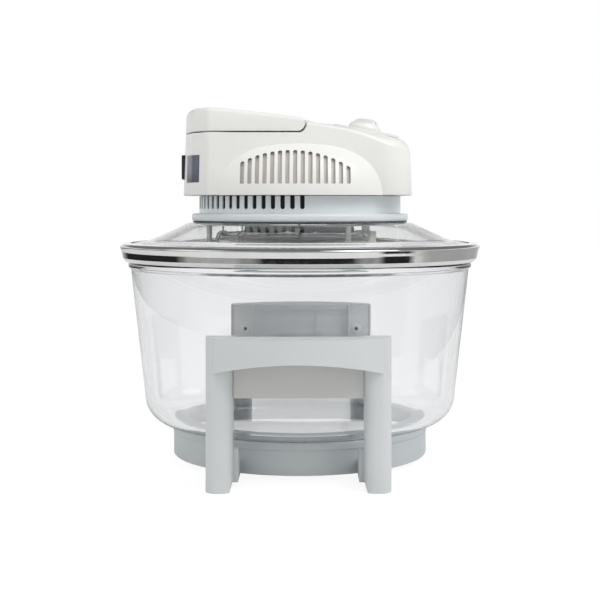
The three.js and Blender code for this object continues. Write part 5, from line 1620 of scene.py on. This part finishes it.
def carry_handle():
    """A bar across the head's rear and an arm along each side, with round ends."""
    body = head_body(HANDLE_BOTTOM_Z, handle_roof, lambda x: HANDLE_EDGE)
    top = PIVOT_Z + 4 * HANDLE_END_RADIUS
    reach = HEAD_HALF + OVERRUN
    ends = joined(
        block((HEAD_REAR_X - OVERRUN, -reach, HANDLE_BOTTOM_Z - OVERRUN), (PIVOT_X, reach, top)),
        rod(HANDLE_END_RADIUS, (PIVOT_X, -reach, PIVOT_Z), (PIVOT_X, reach, PIVOT_Z), MEDIUM_STEPS),
    )
    half = HEAD_HALF - HANDLE_ARM_WIDTH
    opening = upright(
        rectangle((HANDLE_BAR_INNER_X, -half), (PIVOT_X + 4 * HANDLE_END_RADIUS, half), ISLAND_CORNER),
        HANDLE_BOTTOM_Z - OVERRUN,
        top,
    )
    return cut(common(body, ends), opening)


piece(carry_handle(), "handle_shape", "carry_handle", IVORY, "carry_handle")


# Control panel, dial print, knobs and lenses

def panel_plate():
    plate = upright(panel_outline(PANEL_GAP), TINY - PANEL_SINK, PANEL_THICKNESS)
    return moved(bevelled(plate, PANEL_EDGE, THIN_BEVEL_STEPS), ON_PANEL)


def dial_direction(share, sweep):
    """Where a share of a dial's sweep lies, as (along, across): up the panel in its middle."""
    angle = math.radians(sweep * (share - 0.5))
    return -math.cos(angle), math.sin(angle)


def dial_ticks(side, sweep):
    ticks = []
    low = PANEL_THICKNESS - PRINT_RISE
    for i in range(TICK_COUNT):
        along, across = dial_direction(i / (TICK_COUNT - 1), sweep)
        length = TICK_SHORT if i % TICK_LONG_EVERY else TICK_LONG
        tick = block(
            (TICK_RADIUS, -TICK_WIDTH / 2, low),
            (TICK_RADIUS + length, TICK_WIDTH / 2, low + 2 * PRINT_RISE),
        )
        moved(tick, Matrix.Rotation(math.atan2(across, along), 4, "Z"))
        ticks.append(moved(tick, Matrix.Translation((KNOB_ALONG, side * KNOB_ACROSS, 0))))
    return ticks


def numeral(text, along, across):
    """One printed number, upright to someone in front of the oven."""
    curve = bpy.data.curves.new("numeral", "FONT")
    curve.body = text
    curve.size = NUMBER_SIZE
    curve.align_x = "CENTER"
    curve.align_y = "CENTER"
    curve.extrude = PRINT_RISE
    curve.resolution_u = NUMBER_STEPS
    written = in_scene("numeral", curve)
    bpy.context.view_layer.update()
    graph = bpy.context.evaluated_depsgraph_get()
    mesh = bpy.data.meshes.new_from_object(written.evaluated_get(graph))
    bpy.data.objects.remove(written)
    place = Matrix.Translation((along, across, PANEL_THICKNESS)) @ Matrix.Rotation(math.pi / 2, 4, "Z")
    return moved(in_scene("numeral", mesh), place)


def dial_print(name, side, numbers):
    sweep = DIAL_SWEEPS[name]
    marks = dial_ticks(side, sweep)
    for i, text in enumerate(numbers):
        along, across = dial_direction(i / (len(numbers) - 1), sweep)
        marks.append(numeral(
            text,
            KNOB_ALONG + NUMBER_RADIUS * along,
            side * KNOB_ACROSS + NUMBER_RADIUS * across,
        ))
    return moved(gathered(marks), ON_PANEL)


KNOB_OUTLINE = filleted([
    (0, 0, 0),
    (KNOB_RADIUS, 0, KNOB_FOOT_EDGE),
    (KNOB_RADIUS, KNOB_SKIRT, KNOB_SKIRT_EDGE),
    *KNOB_DOME,
], DOME_STEPS)


def knob_dome(rise):
    return revolved([(radius, height + rise) for radius, height in KNOB_OUTLINE])


def at_dial(name, side):
    """From a knob's own place, with its ridge along X, to its dial at the start of its sweep."""
    along, across = dial_direction(0, DIAL_SWEEPS[name])
    turn = Matrix.Rotation(math.atan2(across, along), 4, "Z")
    return ON_PANEL @ Matrix.Translation((KNOB_ALONG, side * KNOB_ACROSS, KNOB_LIFT)) @ turn


def knob(name, side):
    """A domed knob whose middle stands as a ridge between two scoops."""
    reach = 2 * KNOB_RADIUS
    scoops = []
    for way in (1, -1):
        low, high = sorted((way * GRIP_WIDTH / 2, way * reach))
        scoops.append(lengthwise(rectangle((low, GRIP_FOOT), (high, reach), 2 * GRIP_EDGE), -reach, reach))
    shape = bevelled(cut(knob_dome(0), *scoops), GRIP_EDGE, GRIP_BEVEL_STEPS, GRIP_BEVEL_DEGREES)
    return moved(shape, at_dial(name, side))


def knob_pointer(name, side):
    """A short inlaid line along the ridge, from its middle to its outer end."""
    line = block(
        (POINTER_START, -POINTER_WIDTH / 2, GRIP_FOOT),
        (POINTER_END, POINTER_WIDTH / 2, KNOB_RADIUS),
    )
    line = cut(common(knob_dome(2 * PRINT_RISE), line), knob_dome(-POINTER_DEPTH))
    return moved(line, at_dial(name, side))


def lamp_lens(side):
    low = -PANEL_FLOOR
    high = PANEL_THICKNESS + LENS_HEIGHT
    outline = filleted([
        (0, low, 0),
        (LENS_RADIUS, low, LENS_FOOT_EDGE),
        (LENS_RADIUS, high, LENS_ROUND),
        (0, high, 0),
    ], DOME_STEPS)
    place = Matrix.Translation((LENS_ALONG, side * LENS_ACROSS, 0))
    return moved(revolved(outline, SMALL_STEPS), ON_PANEL @ place)


piece(panel_plate(), "panel_shape", "lid", IVORY, "control_panel")
for name, side, numbers in (("timer", 1, TIMER_NUMBERS), ("thermostat", -1, HEAT_NUMBERS)):
    piece(dial_print(name, side, numbers), f"{name}_print", "lid", PRINT_GREY, None)
    piece(knob(name, side), f"{name}_knob_shape", f"{name}_knob", IVORY, f"{name}_knob")
    piece(knob_pointer(name, side), f"{name}_pointer", f"{name}_knob", POINTER_GREY, None)
piece(lamp_lens(1), "power_lamp_shape", "lid", GREEN, "power_lamp")
piece(lamp_lens(-1), "heat_lamp_shape", "lid", AMBER, "heat_lamp")


# Mains inlet and the bare plate

def inlet_slab(width, height, corner, start, end):
    outline = rectangle((-width / 2, INLET_Z - height / 2), (width / 2, INLET_Z + height / 2), corner)
    return lengthwise(outline, start, end)


def power_inlet():
    """A flange and a body with a keyed socket."""
    middle = INLET_FACE_X + INLET_FLANGE / 2
    back = INLET_FACE_X + INLET_BODY_DEPTH
    flange = inlet_slab(
        INLET_FLANGE_WIDTH,
        INLET_FLANGE_HEIGHT,
        4 * INLET_EDGE,
        INLET_FACE_X,
        INLET_FACE_X + INLET_FLANGE,
    )
    body = inlet_slab(INLET_BODY_WIDTH, INLET_BODY_HEIGHT, 3 * INLET_EDGE, middle, back)
    half_y, half_z = INLET_SOCKET_WIDTH / 2, INLET_SOCKET_HEIGHT / 2
    key = half_y * SOCKET_TOP_SHARE
    corners = [
        (-half_y, -half_z),
        (half_y, -half_z),
        (half_y, 0),
        (key, half_z),
        (-key, half_z),
        (-half_y, 0),
    ]
    outline = filleted([(y, INLET_Z + z, INLET_EDGE) for y, z in corners])
    socket = lengthwise(outline, INLET_FACE_X - OVERRUN, INLET_FACE_X + INLET_SOCKET_DEPTH)
    return cut(joined(bevelled(flange, INLET_EDGE), body), socket)


def corner_stretch(inset):
    """The part of the head's outline that lies behind the corner plate."""
    return [p for p in head_plan(inset) if p[0] < HEAD_SIDE_X and BADGE_NEAR_Y < -p[1] < BADGE_FAR_Y]


def corner_plate():
    """A thin bare plate that wraps the head's rear corner."""
    outline = [*corner_stretch(-BADGE_THICKNESS), *reversed(corner_stretch(GAP))]
    plate = upright(outline, BADGE_LOW_Z, BADGE_HIGH_Z)
    return leaned(bevelled(plate, BADGE_THICKNESS / 3, THIN_BEVEL_STEPS))


piece(power_inlet(), "inlet_shape", "lid", BLACK, "power_inlet")
piece(corner_plate(), "corner_plate", "lid", BADGE_GREY, None)


# Fans, heat plate, lamp, guard and probe

def fan_blade(degrees):
    """One pressed blade, swept back and pitched."""
    rings = []
    middle = (FAN_TOP_Z + FAN_LOW_Z) / 2
    for i in range(FAN_BLADE_STEPS + 1):
        share = i / FAN_BLADE_STEPS
        radius = FAN_HUB_RADIUS - OVERRUN + (FAN_RADIUS - FAN_HUB_RADIUS + OVERRUN) * share
        turn = degrees + FAN_SWEEP * share**2
        height_share = FAN_ROOT_SHARE + (1 - FAN_ROOT_SHARE) * min(1, share / FAN_RISE_SHARE)
        half = (FAN_TOP_Z - FAN_LOW_Z) / 2 * height_share
        lean = half / math.tan(math.radians(FAN_PITCH))
        ring = []
        for up, out in ((1, 1), (1, -1), (-1, -1), (-1, 1)):
            across = up * lean + out * FAN_SHEET / 2
            x, y, _ = polar(radius, turn)
            ux, uy, _ = polar(1, turn + 90)
            ring.append((x + ux * across, y + uy * across, middle + up * half))
        rings.append(ring)
    return skin(rings)


def convection_fan():
    disc = revolved(filleted([
        (FAN_HOLE, FAN_DISC_Z, FAN_HOLE_EDGE),
        (FAN_HUB_RADIUS, FAN_DISC_Z, FAN_DISC_EDGE),
        (FAN_HUB_RADIUS, FAN_DISC_Z + FAN_DISC, FAN_DISC_EDGE),
        (FAN_HOLE, FAN_DISC_Z + FAN_DISC, FAN_HOLE_EDGE),
    ]), MEDIUM_STEPS)
    return joined(disc, *[fan_blade(FAN_START + 360 * i / FAN_BLADES) for i in range(FAN_BLADES)])


def heat_plate():
    """A sheet metal disc with one shallow ring pressed into its underside."""
    top = GASKET_Z + HEAT_PLATE_THICKNESS
    low = GASKET_Z
    pressed = low + HEAT_PLATE_PRESS
    return revolved(filleted([
        (HEAT_PLATE_HOLE, low, HEAT_PLATE_HOLE_EDGE),
        (PRESS_INNER, low, PRESS_ROUND),
        (PRESS_INNER + PRESS_SLOPE, pressed, PRESS_ROUND),
        (PRESS_OUTER - PRESS_SLOPE, pressed, PRESS_ROUND),
        (PRESS_OUTER, low, PRESS_ROUND),
        (HEAT_PLATE_RADIUS, low, HEAT_PLATE_EDGE),
        (HEAT_PLATE_RADIUS, top, HEAT_PLATE_EDGE),
        (HEAT_PLATE_HOLE, top, HEAT_PLATE_HOLE_EDGE),
    ]))


def lamp_tube():
    path = ring_path(LAMP_RADIUS, LAMP_Z, LAMP_STEPS, LAMP_GAP, 360 - LAMP_GAP)
    path.append(polar(LAMP_RADIUS, 360 - LAMP_GAP, LAMP_Z))
    return tube(path, LAMP_TUBE, LAMP_SIDES)


def filament():
    points = []
    steps = FILAMENT_TURNS * FILAMENT_TURN_STEPS
    start = LAMP_GAP + FILAMENT_INSET
    for i in range(steps + 1):
        share = i / steps
        degrees = start + (360 - 2 * start) * share
        coil = 2 * math.pi * FILAMENT_TURNS * share
        points.append(polar(
            LAMP_RADIUS + FILAMENT_COIL * math.cos(coil),
            degrees,
            LAMP_Z + FILAMENT_COIL * math.sin(coil),
        ))
    return tube(points, FILAMENT_WIRE, FILAMENT_SIDES)


def lamp_cap(side):
    angle = LAMP_GAP - math.degrees(CAP_LENGTH / 2 / LAMP_RADIUS) - CAP_SPARE_DEGREES
    half = CAP_SIZE / 2
    outline = rectangle((-half, -CAP_LENGTH / 2), (half, CAP_LENGTH / 2), CAP_EDGE)
    cap = bevelled(upright(outline, LAMP_Z - half, LAMP_Z + half), CAP_EDGE / 2)
    moved(cap, Matrix.Translation((LAMP_RADIUS, 0, 0)))
    stem = rod(CLIP_RADIUS, (LAMP_RADIUS, 0, LAMP_Z), (LAMP_RADIUS, 0, GASKET_Z - GAP))
    return turned(joined(cap, stem), side * angle)


def hanging_rod(radius, ring, degrees, low, high):
    return rod(radius, polar(ring, degrees, low), polar(ring, degrees, high), edge=ROD_EDGE)


def lamp_clip(degrees):
    """A stem with a spring loop round the tube."""
    stem = hanging_rod(CLIP_RADIUS / 2, LAMP_RADIUS, degrees, LAMP_Z + LAMP_TUBE, GASKET_Z - GAP)
    reach = LAMP_TUBE + CLIP_RADIUS / 2
    loop = []
    for i in range(CLIP_STEPS):
        angle = 2 * math.pi * i / CLIP_STEPS
        loop.append(polar(LAMP_RADIUS + reach * math.cos(angle), degrees, LAMP_Z + reach * math.sin(angle)))
    return joined(tube(loop, CLIP_WIRE, closed=True), stem)


def guard_post(degrees):
    low = GUARD_Z + GUARD_WIRE
    post = hanging_rod(POST_RADIUS, POST_RING, degrees, low, GASKET_Z - GAP)
    foot = hanging_rod(POST_RADIUS * POST_FOOT_SHARE, POST_RING, degrees, low, low + GUARD_WIRE)
    return joined(post, foot)


def wire_guard():
    """Rings of wire on spokes that run under them."""
    rings = []
    for radius in GUARD_RINGS:
        rings.append(tube(ring_path(radius, GUARD_Z, ROUND_STEPS), GUARD_WIRE, closed=True))
    low = GUARD_Z - GUARD_WIRE
    spokes = []
    for i in range(GUARD_SPOKES):
        degrees = 360 * (i + 0.5) / GUARD_SPOKES
        ends = [polar(radius, degrees, low) for radius in (GUARD_HUB, POST_RING + GUARD_WIRE)]
        spokes.append(rod(GUARD_WIRE, *ends, WIRE_STEPS, SPOKE_EDGE))
    return joined(*rings, *spokes)


def thermostat_probe():
    half = PROBE_LENGTH / 2
    ends = [(PROBE_X, -half, PROBE_Z), (PROBE_X, half, PROBE_Z)]
    bulb = rod(PROBE_RADIUS, *ends, edge=PROBE_RADIUS * PROBE_ROUND_SHARE)
    stem_y = half - PROBE_RADIUS
    stem = rod(CLIP_RADIUS, (PROBE_X, stem_y, PROBE_Z), (PROBE_X, stem_y, GASKET_Z - GAP))
    return joined(bulb, stem)


piece(convection_fan(), "fan_shape", "rotor", DARK_STEEL, "convection_fan")
piece(heat_plate(), "heat_plate_shape", "lid", SPUN, "heat_plate")
piece(lamp_tube(), "lamp_shape", "lid", QUARTZ, "halogen_lamp", GLASS_SHARP_DEGREES)
piece(filament(), "filament", "lid", TUNGSTEN, None, GLASS_SHARP_DEGREES)
piece(lamp_cap(1), "cap_shape_left", "lid", CERAMIC, "lamp_cap_left")
piece(lamp_cap(-1), "cap_shape_right", "lid", CERAMIC, "lamp_cap_right")
for name, degrees in CLIP_DEGREES.items():
    clip = lamp_clip(degrees)
    piece(clip, f"clip_shape_{name}", "lid", PLAIN_STEEL, f"lamp_clip_{name}")
for name, degrees in POST_DEGREES.items():
    post = guard_post(degrees)
    piece(post, f"post_shape_{name}", "lid", PLAIN_STEEL, f"guard_post_{name}")
piece(wire_guard(), "guard_shape", "lid", PLAIN_STEEL, "wire_guard", WIRE_SHARP_DEGREES)
piece(thermostat_probe(), "probe_shape", "lid", COPPER, "thermostat_probe", WIRE_SHARP_DEGREES)


# Pieces that keep the frame's own shape

# A name that ends in an underscore stands for every node whose name starts with it
KEPT = {
    SCREW_STEEL: ["foot_screw_"],
    PLAIN_STEEL: [
        "handle_pin_",
        "motor_bracket",
        "motor_shaft",
        "fan_nut",
        "timer_body",
        "thermostat_body",
    ],
    DARK_STEEL: ["motor"],
    BRASS: ["inlet_pin_", "timer_shaft", "thermostat_shaft"],
    BLACK: ["cooling_fan", "safety_switch", "switch_plunger"],
}

for look, names in KEPT.items():
    for key, obj in frame["nodes"].items():
        for name in names:
            if key == name or (name.endswith("_") and key.startswith(name)):
                obj.data.materials.clear()
                obj.data.materials.append(look)


# Floor, light and camera

def floor():
    """A pale floor, lit evenly where the camera sees it, also through glass."""
    reach = FLOOR_REACH
    corners = [(-reach, -reach, 0), (reach, -reach, 0), (reach, reach, 0), (-reach, reach, 0)]
    obj = sheet("floor", corners, [(0, 1, 2, 3)])
    look, tree, base = material("floor_paint")
    base.inputs["Base Color"].default_value = (FLOOR_COLOUR, FLOOR_COLOUR, FLOOR_COLOUR, 1)
    glossed(tree, base, FLOOR_GLOSS)
    glow = node(tree, "ShaderNodeEmission", {"Strength": FLOOR_GLOW})
    rays = node(tree, "ShaderNodeLightPath", {})
    straight = node(tree, "ShaderNodeMath", {
        0: rays.outputs["Is Camera Ray"],
        1: rays.outputs["Is Transmission Ray"],
    })
    straight.operation = "MAXIMUM"
    share = node(tree, "ShaderNodeMath", {0: straight.outputs[0], 1: FLOOR_SEEN})
    share.operation = "MULTIPLY"
    shown(tree, mixed(tree, share.outputs[0], base, glow))
    obj.data.materials.append(look)


def mirrored_floor(degrees, tilt, lift):
    """Where a wall of the band mirrors the floor: round from its near side, and tilted down by an angle."""
    angle, lean = math.radians(degrees), math.radians(tilt)
    near = Vector((math.sin(angle), -math.cos(angle), 0))
    place = near * BAND_WAIST_RADIUS * MM + Vector((0, 0, BAND_WAIST_Z * MM))
    out = near * math.cos(lean) - Vector((0, 0, math.sin(lean)))
    ahead = Vector((0, 1, 0))
    bounce = ahead - 2 * ahead.dot(out) * out
    return place - bounce * (place.z - lift) / bounce.z


def card_look(name, shade):
    """A shade that fades out at both ends of a card."""
    look = bpy.data.materials.new(name)
    look.use_nodes = True
    tree = look.node_tree
    tree.nodes.remove(tree.nodes["Principled BSDF"])
    glow = node(tree, "ShaderNodeEmission", {"Color": (shade, shade, shade, 1)})
    clear = node(tree, "ShaderNodeBsdfTransparent", {})
    place = node(tree, "ShaderNodeTexCoord", {})
    along = node(tree, "ShaderNodeSeparateXYZ", {0: place.outputs["UV"]})
    mix = node(tree, "ShaderNodeMixShader", {1: clear.outputs[0], 2: glow.outputs[0]})
    white, black = (1, 1, 1), (0, 0, 0)
    stops = [(0, black), (CARD_FADE, white), (1 - CARD_FADE, white), (1, black)]
    colours(tree, along.outputs["X"], stops, mix.inputs[0])
    shown(tree, mix)
    return look


def card(name, start, end, near_tilt, far_tilt, shade, lift):
    """A card on the floor that only mirrors see: polished metal shows a stripe there."""
    corners = []
    marks = []
    for row, tilt in enumerate((near_tilt, far_tilt)):
        for i in range(CARD_STEPS + 1):
            share = i / CARD_STEPS
            corners.append(mirrored_floor(start + (end - start) * share, tilt, lift))
            marks.append((share, row))
    faces = [(i, i + 1, CARD_STEPS + 2 + i, CARD_STEPS + 1 + i) for i in range(CARD_STEPS)]
    obj = sheet(name, corners, faces)
    layer = obj.data.uv_layers.new(name="share")
    for loop in obj.data.loops:
        layer.data[loop.index].uv = marks[loop.vertex_index]
    obj.data.materials.append(card_look(name, shade))
    obj.visible_camera = False
    obj.visible_diffuse = False
    obj.visible_transmission = False
    obj.visible_shadow = False


def world():
    """Soft light for surfaces, white for the camera and glass, and a sky that dims overhead for mirrors."""
    made = bpy.data.worlds.new("studio")
    bpy.context.scene.world = made
    made.use_nodes = True
    tree = made.node_tree
    light = tree.nodes["Background"]
    light.inputs["Strength"].default_value = WORLD_LIGHT
    light.inputs["Color"].default_value = WHITE
    white = node(tree, "ShaderNodeBackground", {"Color": WHITE, "Strength": 1})
    place = node(tree, "ShaderNodeTexCoord", {})
    parts = node(tree, "ShaderNodeSeparateXYZ", {0: place.outputs["Generated"]})
    sky = node(tree, "ShaderNodeBackground", {"Strength": MIRRORED_LIGHT})
    colours(tree, parts.outputs["Z"], SKY_STOPS, sky.inputs["Color"])
    rays = node(tree, "ShaderNodeLightPath", {})
    for kind, seen in (("Is Glossy Ray", sky), ("Is Transmission Ray", white), ("Is Camera Ray", white)):
        light = mixed(tree, rays.outputs[kind], light, seen)
    tree.links.new(light.outputs[0], tree.nodes["World Output"].inputs["Surface"])


def softbox(name, place, size, power):
    lamp = bpy.data.lights.new(name, "AREA")
    lamp.shape = "SQUARE"
    lamp.size = size
    lamp.energy = power
    obj = in_scene(name, lamp)
    obj.location = place
    obj.rotation_euler = (AIM - Vector(place)).to_track_quat("-Z", "Y").to_euler()


def camera():
    """A level camera that looks along +Y."""
    made = bpy.data.cameras.new("camera")
    made.lens = CAMERA_LENS
    made.sensor_width = CAMERA_SENSOR
    made.shift_x = CAMERA_SHIFT_X
    made.shift_y = CAMERA_SHIFT_Y
    obj = in_scene("camera", made)
    obj.location = CAMERA_PLACE
    obj.rotation_euler = (math.pi / 2, 0, 0)
    bpy.context.scene.camera = obj


floor()
world()
softbox("key", KEY_PLACE, KEY_SIZE, KEY_POWER)
softbox("fill", FILL_PLACE, FILL_SIZE, FILL_POWER)
for order, (name, (start, end, near_tilt, far_tilt, shade)) in enumerate(CARDS.items(), 1):
    card(name, start, end, near_tilt, far_tilt, shade, order * CARD_LIFT)
camera()
bpy.context.scene.view_settings.view_transform = "Standard"
